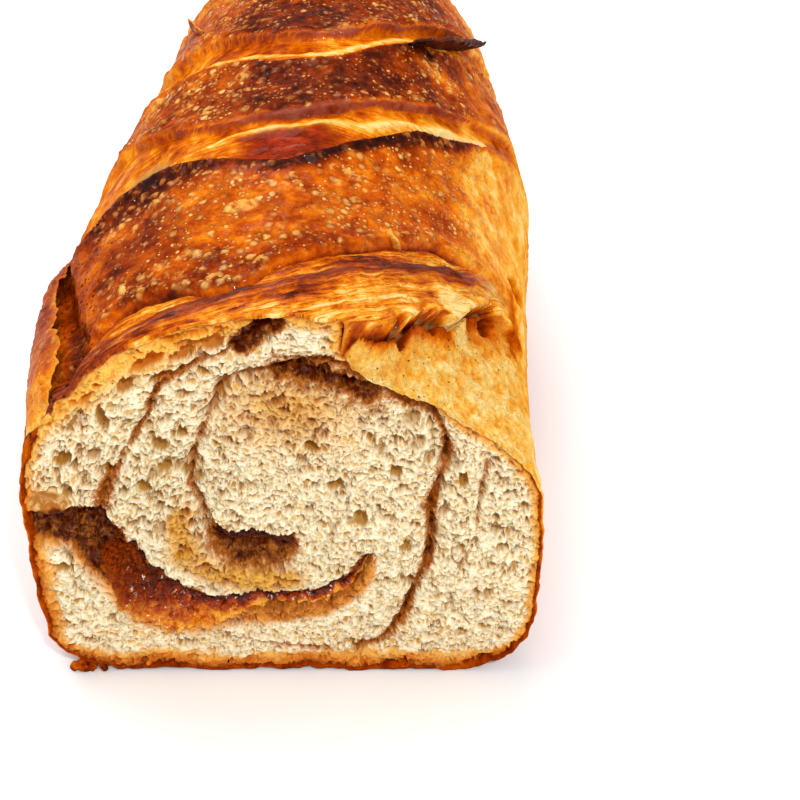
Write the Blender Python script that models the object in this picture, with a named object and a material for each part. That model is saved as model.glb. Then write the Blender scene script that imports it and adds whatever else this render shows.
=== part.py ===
"""Cut cinnamon swirl loaf: the dough, and the cinnamon filling that winds through it.

The loaf lies on its flat base with its length along Y. The cut face is at -Y, the baked
end at +Y and Z points up. Section sizes are given on the cut face, as (across, up).
"""
import math

import bmesh
import bpy
import numpy as np
from mathutils.geometry import tessellate_polygon

# Driving dimensions, in metres.
LENGTH = 0.190
HEIGHT = 0.100
HALF_LEFT = 0.0546
HALF_RIGHT = 0.0534
BELLY_HEIGHT = 0.048
APEX_SHIFT = 0.004
BASE_TRIM = 0.0008

# Roundness of the section: 2 is an ellipse, larger is squarer.
DOME_POWER_LEFT = 2.0
DOME_POWER_RIGHT = 1.78
BASE_POWER = 6.5

# How the section changes along the length.
CROWN_RISE = 0.03
BACK_TAPER = 0.16
TAPER_START = 0.095
TAPER_END = 0.165
BEND_RIGHT = 0.005
BEND_LEFT = 0.0020
END_RADIUS_SIDE = 0.024
END_RADIUS_TOP = 0.034
END_RADIUS_BASE = 0.010
END_CAP_SCALE = 0.24

# Three scores cross the top, each swept back towards the right-hand side.
SCORE_STARTS = (0.013, 0.060, 0.102)
SCORE_DEPTHS = (0.0010, 0.0020, 0.0018)
SCORE_HALF_WIDTH = 0.0055
SCORE_SWEEP = 12.0
SCORE_SWEEP_FROM = -0.008
LIP_HEIGHT = 0.0013
LIP_HALF_WIDTH = 0.004

# On the right, beside the cut, the outer layer is torn back and leaves a step.
TEAR_DEPTH = 0.0042
TEAR_LENGTH = 0.026
TEAR_DIRECTION = math.radians(52.0)
TEAR_HALF_ANGLE = math.radians(34.0)

# The swirl winds clockwise, seen on the cut face, from straight below its centre.
SWIRL_CENTRE = (-0.003, 0.047)
SWIRL_STEP = math.radians(45.0)
SWIRL_RADIUS = (0.0160, 0.0155, 0.0145, 0.0220, 0.0400, 0.0418, 0.0342, 0.0315, 0.0280,
                0.0350, 0.0372, 0.0335, 0.0460, 0.0468, 0.0450, 0.0440, 0.0395, 0.0475)
SWIRL_HALF_THICKNESS = (0.0030, 0.0028, 0.0014, 0.0009, 0.0008, 0.0008, 0.0008, 0.0011, 0.0028,
                        0.0036, 0.0032, 0.0010, 0.0011, 0.0008, 0.0007, 0.0008, 0.0009, 0.0006)
SWIRL_STATIONS = 64
FILLING_END_COVER = 0.012
GAP = 0.00037

OUTLINE_POINTS = 68
BODY_RINGS = 36
END_RINGS = 8
STRIP_RINGS = 7
OUTLINE_SAMPLES = 2400
FILL_SCALE = 1000.0

DOUGH_COLOUR = (0.694, 0.462, 0.212, 1.0)
DOUGH_ROUGHNESS = 0.75
FILLING_COLOUR = (0.332, 0.072, 0.009, 1.0)
FILLING_ROUGHNESS = 0.3


def smoothstep(value):
    """Ease from 0 to 1 as the value goes from 0 to 1."""
    value = np.clip(value, 0.0, 1.0)
    return value * value * (3.0 - 2.0 * value)


def bell(distance, half_width):
    """A smooth bump of height 1 centred on zero distance."""
    return np.exp(-(distance / half_width) ** 2)


def powered(value, power):
    """Raise a signed sine or cosine to a superellipse power."""
    return np.sign(value) * np.abs(value) ** (2.0 / power)


def resample(points, count):
    """Space a closed outline's points evenly along it."""
    closed = np.vstack((points, points[:1]))
    steps = np.hypot(*np.diff(closed, axis=0).T)
    along = np.concatenate(((0.0,), np.cumsum(steps)))
    wanted = np.linspace(0.0, along[-1], count, endpoint=False)
    across = np.interp(wanted, along, closed[:, 0])
    up = np.interp(wanted, along, closed[:, 1])
    return np.column_stack((across, up))


def section_outline(count):
    """The cut face: a low dome over a squarer base with rounded bottom corners."""
    angle = np.linspace(0.0, math.tau, OUTLINE_SAMPLES, endpoint=False)
    cosine, sine = np.cos(angle), np.sin(angle)
    left = cosine < 0.0
    dome_power = np.where(left, DOME_POWER_LEFT, DOME_POWER_RIGHT)
    dome_half = np.where(left, HALF_LEFT + APEX_SHIFT, HALF_RIGHT - APEX_SHIFT)
    dome_across = APEX_SHIFT + dome_half * powered(cosine, dome_power)
    dome_up = BELLY_HEIGHT + (HEIGHT - BELLY_HEIGHT) * powered(sine, dome_power)
    base_half = np.where(left, HALF_LEFT, HALF_RIGHT)
    base_across = base_half * powered(cosine, BASE_POWER)
    base_up = BELLY_HEIGHT + (BELLY_HEIGHT + BASE_TRIM) * powered(sine, BASE_POWER)
    upper = sine >= 0.0
    across = np.where(upper, dome_across, base_across)
    up = np.where(upper, dome_up, np.maximum(base_up, 0.0))
    return resample(np.column_stack((across, up)), count)


def plan_scale(y):
    """Width along the loaf: full to the middle, narrower at the back."""
    return 1.0 - BACK_TAPER * smoothstep((y - TAPER_START) / (TAPER_END - TAPER_START))


def bend(y):
    """Sideways drift of the middle line: slightly left, then right."""
    first_third = LENGTH / 3.0
    left = BEND_LEFT * math.sin(math.pi * min(y / first_third, 1.0))
    right = BEND_RIGHT * smoothstep((y - first_third) / first_third)
    return right - left


def crown(y):
    """Height along the loaf, highest in its first half."""
    return 1.0 + CROWN_RISE * math.sin(math.pi * min(y / LENGTH, 1.0))


def end_round(y, radius):
    """Scale that closes the baked end over the given radius."""
    depth = min(max((y - LENGTH + radius) / radius, 0.0), 1.0)
    return END_CAP_SCALE + (1.0 - END_CAP_SCALE) * math.sqrt(1.0 - depth * depth)


def place(section, y):
    """Set points of the cut face into space at a distance y behind it."""
    across, up = section[:, 0], section[:, 1]
    x = across * plan_scale(y) * end_round(y, END_RADIUS_SIDE) + bend(y)
    above = np.maximum(up - BELLY_HEIGHT, 0.0) * end_round(y, END_RADIUS_TOP)
    below = np.minimum(up - BELLY_HEIGHT, 0.0) * end_round(y, END_RADIUS_BASE)
    z = BELLY_HEIGHT * crown(y) + above * crown(y) + below * crown(y)
    return np.column_stack((x, np.full(len(section), y), np.maximum(z, 0.0)))


def score_relief(across, y):
    """Height of the scored top: an open groove with a raised lip on both sides."""
    sweep = SCORE_SWEEP * np.maximum(across - SCORE_SWEEP_FROM, 0.0) ** 2
    height = np.zeros_like(across)
    for start, depth in zip(SCORE_STARTS, SCORE_DEPTHS):
        distance = y - start - sweep
        height -= depth * bell(distance, SCORE_HALF_WIDTH)
        height += LIP_HEIGHT * bell(distance - 2.0 * SCORE_HALF_WIDTH, LIP_HALF_WIDTH)
        height += LIP_HEIGHT * bell(distance + 2.0 * SCORE_HALF_WIDTH, LIP_HALF_WIDTH)
    return height


def tear_relief(section, y):
    """Depth of the step beside the cut where the outer layer is torn back."""
    toward = np.arctan2(section[:, 1] - BELLY_HEIGHT, section[:, 0])
    beside = smoothstep(1.6 - 1.6 * np.abs(toward - TEAR_DIRECTION) / TEAR_HALF_ANGLE)
    return TEAR_DEPTH * beside * smoothstep(1.4 - 1.4 * y / TEAR_LENGTH)


def dough_ring(section, y):
    """One ring of the loaf's outside, with the scores and the torn step on its top."""
    ring = place(section, y)
    outward = section - np.array((0.0, BELLY_HEIGHT))
    outward /= np.linalg.norm(outward, axis=1)[:, None]
    top = smoothstep((section[:, 1] - 0.66 * HEIGHT) / (0.2 * HEIGHT))
    baked = 1.0 - smoothstep((y - LENGTH + END_RADIUS_TOP) / END_RADIUS_TOP)
    relief = top * baked * score_relief(section[:, 0], y) - tear_relief(section, y)
    ring[:, 0] += outward[:, 0] * relief
    ring[:, 2] += outward[:, 1] * relief
    return ring


def dough_rings():
    """All rings of the loaf, closer together where the baked end rounds over."""
    section = section_outline(OUTLINE_POINTS)
    straight = LENGTH - END_RADIUS_SIDE
    stations = list(np.linspace(0.0, straight, BODY_RINGS, endpoint=False))
    turn = np.linspace(0.0, math.pi / 2.0, END_RINGS)
    stations += list(straight + END_RADIUS_SIDE * np.sin(turn))
    return [dough_ring(section, float(y)) for y in stations]


def curve_through(values, position):
    """Read a smooth Catmull-Rom curve through evenly spaced values."""
    last = len(values) - 1
    start = min(int(position), last - 1)
    before, here = values[max(start - 1, 0)], values[start]
    ahead, after = values[start + 1], values[min(start + 2, last)]
    t = position - start
    bend_in = 0.5 * (ahead - before)
    bend_out = 0.5 * (after - here)
    rise = ahead - here
    return here + bend_in * t + (3 * rise - 2 * bend_in - bend_out) * t ** 2 \
        + (bend_in + bend_out - 2 * rise) * t ** 3


def swirl_middle():
    """Points along the middle of the filling, and its half thickness at each."""
    last = len(SWIRL_RADIUS) - 1
    points, halves = [], []
    for position in np.linspace(0.0, last, SWIRL_STATIONS):
        angle = -math.pi / 2.0 - position * SWIRL_STEP
        radius = curve_through(SWIRL_RADIUS, position)
        across = SWIRL_CENTRE[0] + radius * math.cos(angle)
        up = SWIRL_CENTRE[1] + radius * math.sin(angle)
        points.append((across, up))
        halves.append(curve_through(SWIRL_HALF_THICKNESS, position))
    return np.array(points), np.array(halves)


def strip_outline(margin):
    """Closed outline of the rolled filling on the cut face, grown by a margin."""
    middle, halves = swirl_middle()
    along = np.gradient(middle, axis=0)
    along /= np.linalg.norm(along, axis=1)[:, None]
    side = np.column_stack((-along[:, 1], along[:, 0]))
    half = (halves + margin)[:, None]
    tip_in = middle[0] - along[0] * half[0]
    tip_out = middle[-1] + along[-1] * half[-1]
    outer = middle + side * half
    inner = middle - side * half
    return np.vstack((tip_in, outer, tip_out, inner[::-1]))


def strip_rings(margin):
    """Rings of the rolled filling, which follows the loaf's own bend and taper."""
    outline = strip_outline(margin)
    stations = np.linspace(0.0, LENGTH - FILLING_END_COVER + margin, STRIP_RINGS)
    return [place(outline, float(y)) for y in stations]


def add_tube(shape, rings, offset):
    """Skin a tube through rings of equal length, and return its first and last rings."""
    rows = [[shape.verts.new(point + offset) for point in ring] for ring in rings]
    for near, far in zip(rows, rows[1:]):
        for i in range(len(near)):
            j = (i + 1) % len(near)
            shape.faces.new((near[i], near[j], far[j], far[i]))
    return rows[0], rows[-1]


def close_flat(shape, loops):
    """Fill the flat first loop of points, leaving open any loop that lies inside it."""
    corners = [corner for loop in loops for corner in loop]
    outlines = [[corner.co * FILL_SCALE for corner in loop] for loop in loops]
    for triangle in tessellate_polygon(outlines):
        shape.faces.new([corners[i] for i in triangle])


def finished(name, shape, colour, roughness):
    """Turn a closed shape into a named object with its own material."""
    bmesh.ops.recalc_face_normals(shape, faces=shape.faces)
    mesh = bpy.data.meshes.new(name)
    shape.to_mesh(mesh)
    shape.free()
    mesh.shade_smooth()
    mesh.set_sharp_from_angle(angle=math.radians(40.0))
    mesh.materials.append(material(name, colour, roughness))
    piece = bpy.data.objects.new(name, mesh)
    bpy.context.scene.collection.objects.link(piece)
    return piece


def material(name, colour, roughness):
    """A plain food material."""
    made = bpy.data.materials.new(name)
    made.use_nodes = True
    shader = made.node_tree.nodes["Principled BSDF"]
    shader.inputs["Base Color"].default_value = colour
    shader.inputs["Roughness"].default_value = roughness
    shader.inputs["Metallic"].default_value = 0.0
    return made


def make_dough(rings, offset):
    """The loaf, with the slot for the filling open at the cut face."""
    shape = bmesh.new()
    outside_front, outside_back = add_tube(shape, rings, offset)
    slot_front, slot_end = add_tube(shape, strip_rings(GAP), offset)
    close_flat(shape, [outside_front, slot_front])
    close_flat(shape, [outside_back])
    close_flat(shape, [slot_end])
    return finished("dough", shape, DOUGH_COLOUR, DOUGH_ROUGHNESS)


def make_filling(offset):
    """The rolled cinnamon filling, flush with the cut face."""
    shape = bmesh.new()
    front, end = add_tube(shape, strip_rings(0.0), offset)
    close_flat(shape, [front])
    close_flat(shape, [end])
    return finished("cinnamon_filling", shape, FILLING_COLOUR, FILLING_ROUGHNESS)


def main():
    """Build the loaf and centre its box over the origin."""
    for thing in list(bpy.data.objects):
        bpy.data.objects.remove(thing, do_unlink=True)
    rings = dough_rings()
    everything = np.vstack(rings)
    middle = 0.5 * (everything.min(axis=0) + everything.max(axis=0))
    offset = np.array((-middle[0], -middle[1], 0.0))
    make_dough(rings, offset)
    make_filling(offset)


main()
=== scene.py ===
"""Looks of the cut cinnamon swirl loaf: baked crust, open crumb and sticky filling.

Shapes are worked out in millimetres in the loaf's own frame: x across, y behind the cut
face, z up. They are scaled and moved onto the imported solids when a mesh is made.
"""
import itertools
import math
from types import SimpleNamespace

import bpy
import numpy as np
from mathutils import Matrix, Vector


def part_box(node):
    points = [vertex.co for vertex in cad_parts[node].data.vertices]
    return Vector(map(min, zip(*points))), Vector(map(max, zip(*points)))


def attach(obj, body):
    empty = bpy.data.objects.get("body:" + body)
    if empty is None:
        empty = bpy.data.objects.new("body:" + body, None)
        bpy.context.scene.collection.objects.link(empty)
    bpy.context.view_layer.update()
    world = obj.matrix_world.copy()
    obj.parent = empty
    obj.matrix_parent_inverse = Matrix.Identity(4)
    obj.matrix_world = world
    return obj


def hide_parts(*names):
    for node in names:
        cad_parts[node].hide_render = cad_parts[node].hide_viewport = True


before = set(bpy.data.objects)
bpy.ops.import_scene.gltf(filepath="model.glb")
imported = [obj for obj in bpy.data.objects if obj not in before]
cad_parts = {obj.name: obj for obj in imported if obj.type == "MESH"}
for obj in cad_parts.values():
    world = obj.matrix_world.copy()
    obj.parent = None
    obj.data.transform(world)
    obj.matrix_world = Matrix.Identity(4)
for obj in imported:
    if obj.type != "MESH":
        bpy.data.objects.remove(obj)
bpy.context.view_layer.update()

MM = 0.001
TAU = math.tau

# The loaf's driving dimensions, in millimetres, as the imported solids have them.
LENGTH = 190.0
HEIGHT = 100.0
HALF_LEFT = 54.6
HALF_RIGHT = 53.4
BELLY = 48.0
APEX = 4.0
BASE_TRIM = 0.8
DOME_POWER_LEFT = 2.0
DOME_POWER_RIGHT = 1.78
BASE_POWER = 6.5
CROWN_RISE = 0.03
BACK_TAPER = 0.16
TAPER = (95.0, 165.0)
BEND_RIGHT = 5.0
BEND_LEFT = 2.0
END_RADIUS_SIDE = 24.0
END_RADIUS_TOP = 34.0
END_RADIUS_BASE = 10.0
END_CAP_SCALE = 0.24

# Camera fitted to the loaf's outline, in the loaf's frame.
CAMERA_X = 23.5
CAMERA_BACK = 237.2
CAMERA_HEIGHT = 279.2
CAMERA_PITCH = math.radians(40.0)
CAMERA_LENS = 72.0
SENSOR_WIDTH = 36.0

# The stage: how far the floor reaches, the light from all round, and two soft lights as
# (place, aim, size, power), all in metres and watts.
FLOOR_REACH = 3.0
WORLD_STRENGTH = 0.68
LIGHTS = {
    "key": ((-0.20, 0.22, 0.95), (0.0, 0.0, 0.05), 0.7, 6.0),
    "front": ((0.22, -0.62, 0.78), (0.0, -0.05, 0.05), 0.07, 3.4),
}

dough_low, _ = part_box("dough")
SHIFT = np.array((0.0, dough_low[1] / MM, dough_low[2] / MM))


# ---------------------------------------------------------------- small maths

def smoothstep(value, low=0.0, high=1.0):
    """Ease from 0 to 1 as the value goes from low to high."""
    value = np.clip((value - low) / (high - low), 0.0, 1.0)
    return value * value * (3.0 - 2.0 * value)


def bell(distance, half_width):
    """A smooth bump of height 1 centred on zero distance."""
    return np.exp(-(distance / half_width) ** 2)


def mix(a, b, amount):
    """Blend two arrays."""
    return a + (b - a) * amount


def table(value, pairs):
    """Read a table of (value, result) pairs, with straight lines between them."""
    return np.interp(value, *np.array(pairs).T)


def lattice(ix, iy, iz, seed):
    """Repeatable random numbers from 0 to 1 at whole-number points."""
    h = (ix * 374761393 + iy * 668265263 + iz * 1442695041 + seed * 974634777) & 0xFFFFFFFF
    h = ((h ^ (h >> 13)) * 1274126177) & 0xFFFFFFFF
    h = h ^ (h >> 16)
    return ((h & 0xFFFFFF) / float(0x1000000)).astype(np.float32)


def noise(points, seed):
    """Smooth noise from -1 to 1 at an (n, 3) array of points."""
    whole = np.floor(points).astype(np.int64)
    part = (points - whole).astype(np.float32)
    ease = part * part * part * (part * (part * 6.0 - 15.0) + 10.0)
    total = np.zeros(len(points), np.float32)
    for dx, dy, dz in itertools.product((0, 1), repeat=3):
        weight = (ease[:, 0] if dx else 1.0 - ease[:, 0]) \
            * (ease[:, 1] if dy else 1.0 - ease[:, 1]) \
            * (ease[:, 2] if dz else 1.0 - ease[:, 2])
        total += weight * lattice(whole[:, 0] + dx, whole[:, 1] + dy, whole[:, 2] + dz, seed)
    return total * 2.0 - 1.0


def fbm(points, size, seed, octaves, gain=0.5):
    """Layered noise whose largest features are about the given size."""
    total = np.zeros(len(points), np.float32)
    scale, weight, weights = 1.0 / size, 1.0, 0.0
    for octave in range(octaves):
        total += weight * noise(points * scale + 17.3 * octave, seed + octave)
        weights += weight
        scale *= 2.03
        weight *= gain
    return total / weights


def cells(points, size, seed):
    """Distances to the two nearest scattered cell centres, and the nearest one's number
    and how far behind the point, along y, it lies."""
    scaled = (points / size).astype(np.float32)
    whole = np.floor(scaled).astype(np.int64)
    low = whole.min(axis=0) - 1
    count = whole.max(axis=0) - low + 2
    axes = [np.arange(c, dtype=np.int64) + l for c, l in zip(count, low)]
    gx, gy, gz = np.meshgrid(*axes, indexing="ij")
    centre = [(g + lattice(gx, gy, gz, seed + k)).astype(np.float32).ravel()
              for k, g in enumerate((gx, gy, gz))]
    number = lattice(gx, gy, gz, seed + 7).ravel()
    home = whole - low
    home = (home[:, 0] * count[1] + home[:, 1]) * count[2] + home[:, 2]
    first = np.full(len(points), 9.0, np.float32)
    second = np.full(len(points), 9.0, np.float32)
    nearest = np.zeros(len(points), np.int64)
    for dx, dy, dz in itertools.product((-1, 0, 1), repeat=3):
        index = home + (dx * count[1] + dy) * count[2] + dz
        away = (centre[0][index] - scaled[:, 0]) ** 2
        away += (centre[1][index] - scaled[:, 1]) ** 2
        away += (centre[2][index] - scaled[:, 2]) ** 2
        closer = away < first
        second = np.where(closer, first, np.minimum(second, away))
        nearest = np.where(closer, index, nearest)
        first = np.where(closer, away, first)
    behind = (centre[1][nearest] - scaled[:, 1]) * size
    return np.sqrt(first) * size, np.sqrt(second) * size, number[nearest], behind


def running_length(points):
    """Length along a line at each of its points."""
    return np.concatenate(((0.0,), np.cumsum(np.linalg.norm(np.diff(points, axis=0), axis=1))))


# ---------------------------------------------------------------- the loaf's form

def powered(value, power):
    """Raise a signed sine or cosine to a superellipse power."""
    return np.sign(value) * np.abs(value) ** (2.0 / power)


def outline_table():
    """The cut face's outline, from the right side over the top and round, by length."""
    angle = np.linspace(0.0, TAU, 4000, endpoint=False)
    cosine, sine = np.cos(angle), np.sin(angle)
    left = cosine < 0.0
    power = np.where(left, DOME_POWER_LEFT, DOME_POWER_RIGHT)
    half = np.where(left, HALF_LEFT + APEX, HALF_RIGHT - APEX)
    top = np.column_stack((APEX + half * powered(cosine, power),
                           BELLY + (HEIGHT - BELLY) * powered(sine, power)))
    base_half = np.where(left, HALF_LEFT, HALF_RIGHT)
    up = np.maximum(BELLY + (BELLY + BASE_TRIM) * powered(sine, BASE_POWER), 0.0)
    base = np.column_stack((base_half * powered(cosine, BASE_POWER), up))
    points = np.where((sine >= 0.0)[:, None], top, base)
    points = np.vstack((points, points[:1]))
    return running_length(points), points


OUTLINE_ALONG, OUTLINE_POINTS = outline_table()
AROUND = OUTLINE_ALONG[-1]


def outline_at(along):
    """Points of the outline at lengths along it."""
    along = np.mod(along, AROUND)
    return np.column_stack([np.interp(along, OUTLINE_ALONG, OUTLINE_POINTS[:, k])
                            for k in range(2)])


def end_round(y, radius):
    """Scale that closes the baked end over the given radius."""
    depth = np.clip((y - LENGTH + radius) / radius, 0.0, 1.0)
    return END_CAP_SCALE + (1.0 - END_CAP_SCALE) * np.sqrt(1.0 - depth * depth)


def place(section, y):
    """Set points of the cut face into space at distances y behind it."""
    third = LENGTH / 3.0
    wide = 1.0 - BACK_TAPER * smoothstep(y, *TAPER)
    drift = BEND_RIGHT * smoothstep(y, third, 2.0 * third)
    drift = drift - BEND_LEFT * np.sin(math.pi * np.clip(y / third, 0.0, 1.0))
    crown = 1.0 + CROWN_RISE * np.sin(math.pi * np.clip(y / LENGTH, 0.0, 1.0))
    x = section[:, 0] * wide * end_round(y, END_RADIUS_SIDE) + drift
    above = np.maximum(section[:, 1] - BELLY, 0.0) * end_round(y, END_RADIUS_TOP)
    below = np.minimum(section[:, 1] - BELLY, 0.0) * end_round(y, END_RADIUS_BASE)
    z = np.maximum((BELLY + above + below) * crown, 0.0)
    return np.column_stack((x, y, z))


# ---------------------------------------------------------------- mesh making

def make_piece(name, points, faces, material, replaces, fields):
    """Make a smooth mesh object from millimetre points, with named numbers per point."""
    mesh = bpy.data.meshes.new(name)
    faces = np.asarray(faces, np.int32)
    corners = faces.shape[1]
    mesh.vertices.add(len(points))
    mesh.vertices.foreach_set("co", ((points + SHIFT) * MM).astype(np.float32).ravel())
    mesh.loops.add(faces.size)
    mesh.loops.foreach_set("vertex_index", faces.ravel())
    mesh.polygons.add(len(faces))
    mesh.polygons.foreach_set("loop_start", np.arange(0, faces.size, corners, dtype=np.int32))
    mesh.update(calc_edges=True)
    for key, values in fields.items():
        layer = mesh.attributes.new(key, "FLOAT", "POINT")
        layer.data.foreach_set("value", np.asarray(values, np.float32).ravel())
    mesh.validate()
    mesh.shade_smooth()
    mesh.materials.append(material)
    piece = bpy.data.objects.new(name, mesh)
    bpy.context.scene.collection.objects.link(piece)
    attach(piece, "root")
    if replaces:
        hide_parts(*replaces)
    return piece


def compact(points, faces, fields):
    """Drop the points that no face uses."""
    used = np.unique(faces)
    index = np.zeros(len(points), np.int64)
    index[used] = np.arange(len(used))
    return points[used], index[faces], {key: value[used] for key, value in fields.items()}


# ---------------------------------------------------------------- marks on the cut face

# Routes of the swirl on the cut face, as (across, up) in millimetres.
INNER_LINE = ((-2.0, 36.4), (-10.0, 37.2), (-15.5, 38.8), (-17.4, 48.5), (-18.9, 58.0),
              (-15.8, 70.3), (-12.6, 79.5), (-8.0, 84.4), (-1.8, 86.3), (4.0, 87.6))
OUTER_LINE = ((-2.2, 97.0), (-8.0, 91.9), (-17.1, 86.7), (-24.3, 80.7), (-27.2, 72.4),
              (-32.4, 63.9), (-36.0, 56.6), (-38.2, 49.5), (-40.6, 45.2))
RIGHT_LINE = ((4.0, 88.4), (12.1, 87.2), (21.8, 80.3), (29.5, 75.0), (33.0, 65.9), (29.9, 49.7),
              (30.2, 39.0), (25.6, 21.6), (20.8, 10.2), (14.0, 5.5))
FAR_LINE = ((41.0, 63.0), (39.8, 54.7), (39.2, 43.0), (36.0, 30.0))
POWDER_LINE = ((0.0, 86.5), (8.0, 85.0), (17.5, 80.6))
LOW_STREAK = ((-15.0, 10.4), (-8.9, 9.4), (-2.0, 8.2), (8.0, 7.0))
PATCH_TOP = ((-17.0, 46.0), (-13.0, 42.4), (-7.0, 42.6), (-1.5, 41.2), (4.0, 42.5))
PATCH_MIDDLE = (-7.5, 38.5)
PATCH_HALF = (10.5, 8.6)
TOP_JAM = ((-7.0, 92.6), (-4.6, 94.6), (-1.8, 96.6), (-0.4, 97.6))

# The sticky band: across, up and half its thickness.
BAND = ((-54.5, 45.0, 3.0), (-47.5, 44.4, 4.2), (-42.0, 43.4, 5.2), (-39.6, 38.0, 5.0),
        (-36.5, 32.5, 5.4), (-32.6, 26.2, 6.0), (-28.0, 21.0, 6.6), (-22.8, 19.2, 6.0),
        (-17.5, 18.6, 4.2), (-12.0, 18.8, 3.6), (-6.0, 19.5, 4.0), (-1.0, 20.0, 4.0),
        (6.0, 21.5, 3.4), (11.4, 25.0, 3.0), (15.5, 30.0, 2.2), (17.5, 35.0, 1.0))
WET_REACH = ((0.10, 0.9), (0.18, 0.4), (0.24, -0.35), (0.34, -0.85), (0.50, -0.85), (0.58, -0.3),
             (0.66, 0.2), (1.0, 0.3))
AMBER_POCKET = (-49.0, 51.3)
SWIRL_CENTRE = (-3.0, 47.0)
BUTTER_LINE = ((-22.5, 46.0), (-21.8, 40.0), (-21.0, 35.0), (-16.0, 30.5), (-9.0, 28.6), (0.0, 29.0))

# Large bubbles in the crumb: across, up, half width, half height, turn in degrees.
BUBBLES = ((-11.9, 93.6, 2.5, 1.7, 35), (-18.0, 90.6, 2.9, 1.2, 28), (-24.6, 88.9, 4.2, 1.3, 35),
           (-29.6, 83.2, 1.3, 2.3, -40), (-35.0, 74.6, 1.2, 3.2, 5), (-22.6, 84.9, 2.8, 1.0, 30),
           (-24.1, 61.0, 1.8, 1.3, 20), (-19.4, 59.3, 1.2, 1.4, 0), (-46.8, 52.8, 2.0, 1.1, 20),
           (-48.8, 32.4, 2.0, 1.2, -15), (-19.7, 70.7, 1.1, 1.6, 10), (-35.5, 60.8, 1.2, 1.8, 25),
           (10.4, 56.9, 2.0, 1.5, 30), (15.3, 47.4, 1.5, 2.6, 10), (22.7, 60.4, 1.3, 1.8, 0),
           (-28.6, 56.0, 1.5, 2.1, 20), (36.4, 58.0, 1.0, 2.2, 0), (24.5, 39.0, 1.2, 1.4, 0),
           (6.0, 67.0, 1.8, 1.2, -20), (-44.0, 63.5, 2.4, 1.2, 50), (-24.5, 67.5, 1.5, 2.0, 15))


def curve(route, between):
    """Points along a smooth curve through a route's points, with so many to each span."""
    route = np.asarray(route, float)
    padded = np.vstack((2.0 * route[0] - route[1], route, 2.0 * route[-1] - route[-2]))
    made = []
    for before, here, ahead, after in zip(padded, padded[1:], padded[2:], padded[3:]):
        for t in np.arange(between) / between:
            made.append(here + 0.5 * t * (ahead - before + t * (
                2.0 * before - 5.0 * here + 4.0 * ahead - after
                + t * (3.0 * (here - ahead) + after - before))))
    made.append(route[-1])
    return np.array(made)


def near(points, route, between=5):
    """Distance to a curve, how far along it that is from 0 to 1, and the signed side."""
    line = curve(route, between)[:, :2]
    steps = np.diff(line, axis=0)
    lengths = np.hypot(*steps.T)
    runs = running_length(line)
    best = np.full(len(points), 1.0e9)
    along = np.zeros(len(points))
    side = np.zeros(len(points))
    for start, step, length, run in zip(line, steps, lengths, runs):
        offset = points - start
        reach = np.clip(offset @ step / length ** 2, 0.0, 1.0)
        away = np.hypot(offset[:, 0] - reach * step[0], offset[:, 1] - reach * step[1])
        closer = away < best
        best = np.where(closer, away, best)
        along = np.where(closer, run + reach * length, along)
        side = np.where(closer, step[0] * offset[:, 1] - step[1] * offset[:, 0], side)
    return best, along / runs[-1], np.sign(side)


def band_marks(points):
    """Signed distance to the sticky band, its run from 0 to 1, and place across it, 1 inward."""
    line = curve(BAND, 5)
    away, along, side = near(points, BAND)
    lengths = running_length(line[:, :2])
    half = np.interp(along, lengths / lengths[-1], line[:, 2])
    return away - half, along, side * away / half


def face_marks(x, z, rim):
    """Numbers that colour and shape the cut face at points (x, z) inside the rim's outline."""
    points = np.column_stack((x, z))
    flat = np.column_stack((x, np.full_like(x, 3.7), z))
    wander = np.column_stack((fbm(flat, 7.0, 71, 3), fbm(flat, 7.0, 81, 3)))
    bent = points + 1.1 * wander
    marks = {"edge": near(points, np.vstack((rim, rim[:1])), 1)[0]}
    lines = {"inner": INNER_LINE, "outer": OUTER_LINE, "right": RIGHT_LINE, "far": FAR_LINE,
             "streak": LOW_STREAK, "patch_top": PATCH_TOP}
    for key, route in lines.items():
        marks[key], marks[key + "_run"], marks[key + "_side"] = near(bent, route)
    marks["powder"] = near(bent, POWDER_LINE)[0]
    oval = (bent + 0.8 * wander - PATCH_MIDDLE) / PATCH_HALF
    inward = 8.0 * (1.0 - np.hypot(oval[:, 0], oval[:, 1]))
    marks["patch"] = np.where(marks["patch_top_side"] < 0.0, inward, -marks["patch_top"])
    marks["jam"] = near(bent, TOP_JAM)[0]
    marks["band"], marks["band_run"], marks["band_across"] = band_marks(bent)
    marks["radius"] = np.hypot(x - SWIRL_CENTRE[0], z - SWIRL_CENTRE[1])
    marks["pocket"] = np.hypot((x - AMBER_POCKET[0]) / 4.2, (z - AMBER_POCKET[1]) / 3.6)
    marks["butter"] = near(bent, BUTTER_LINE)[0]
    marks["gold"] = gold_zone(x, z, marks["edge"])
    return marks


def gold_zone(x, z, edge):
    """Where the crumb under the top crust is glassy and golden."""
    reach = 2.4 + 5.6 * bell(x + 24.0, 22.0) * smoothstep(z, 60.0, 78.0)
    return smoothstep(1.35 - edge / reach, 0.0, 0.9)


# ---------------------------------------------------------------- the open crumb

# Spacing of the cut face's points, how far inside the crust they start, how far the grid
# reaches, and where the crumb is split into meshes.
FACE_STEP = 0.22
CRUMB_INSET = 0.5
GRID_HALF = 58.0
GRID_TOP = 103.0
CRUMB_SPLITS = (-22.0, 14.0)

# Pores: cell size, seed, least and most radius as a share of it, and the share of cells.
PORES = ((4.8, 11, 0.20, 0.46, 0.34), (2.6, 12, 0.34, 0.70, 0.50))

# Foam of small cells between the pores: cell size, seed and usual depth.
FOAM = ((2.1, 13, 0.75), (1.25, 14, 0.55))

# Cracks beside the swirl's lines: which line, half width and depth.
CRACKS = (("inner", 0.75, 2.4), ("outer", 0.7, 2.2), ("right", 1.0, 3.4), ("far", 0.45, 1.4),
          ("patch_top", 0.9, 3.0), ("streak", 0.5, 1.4))

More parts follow.
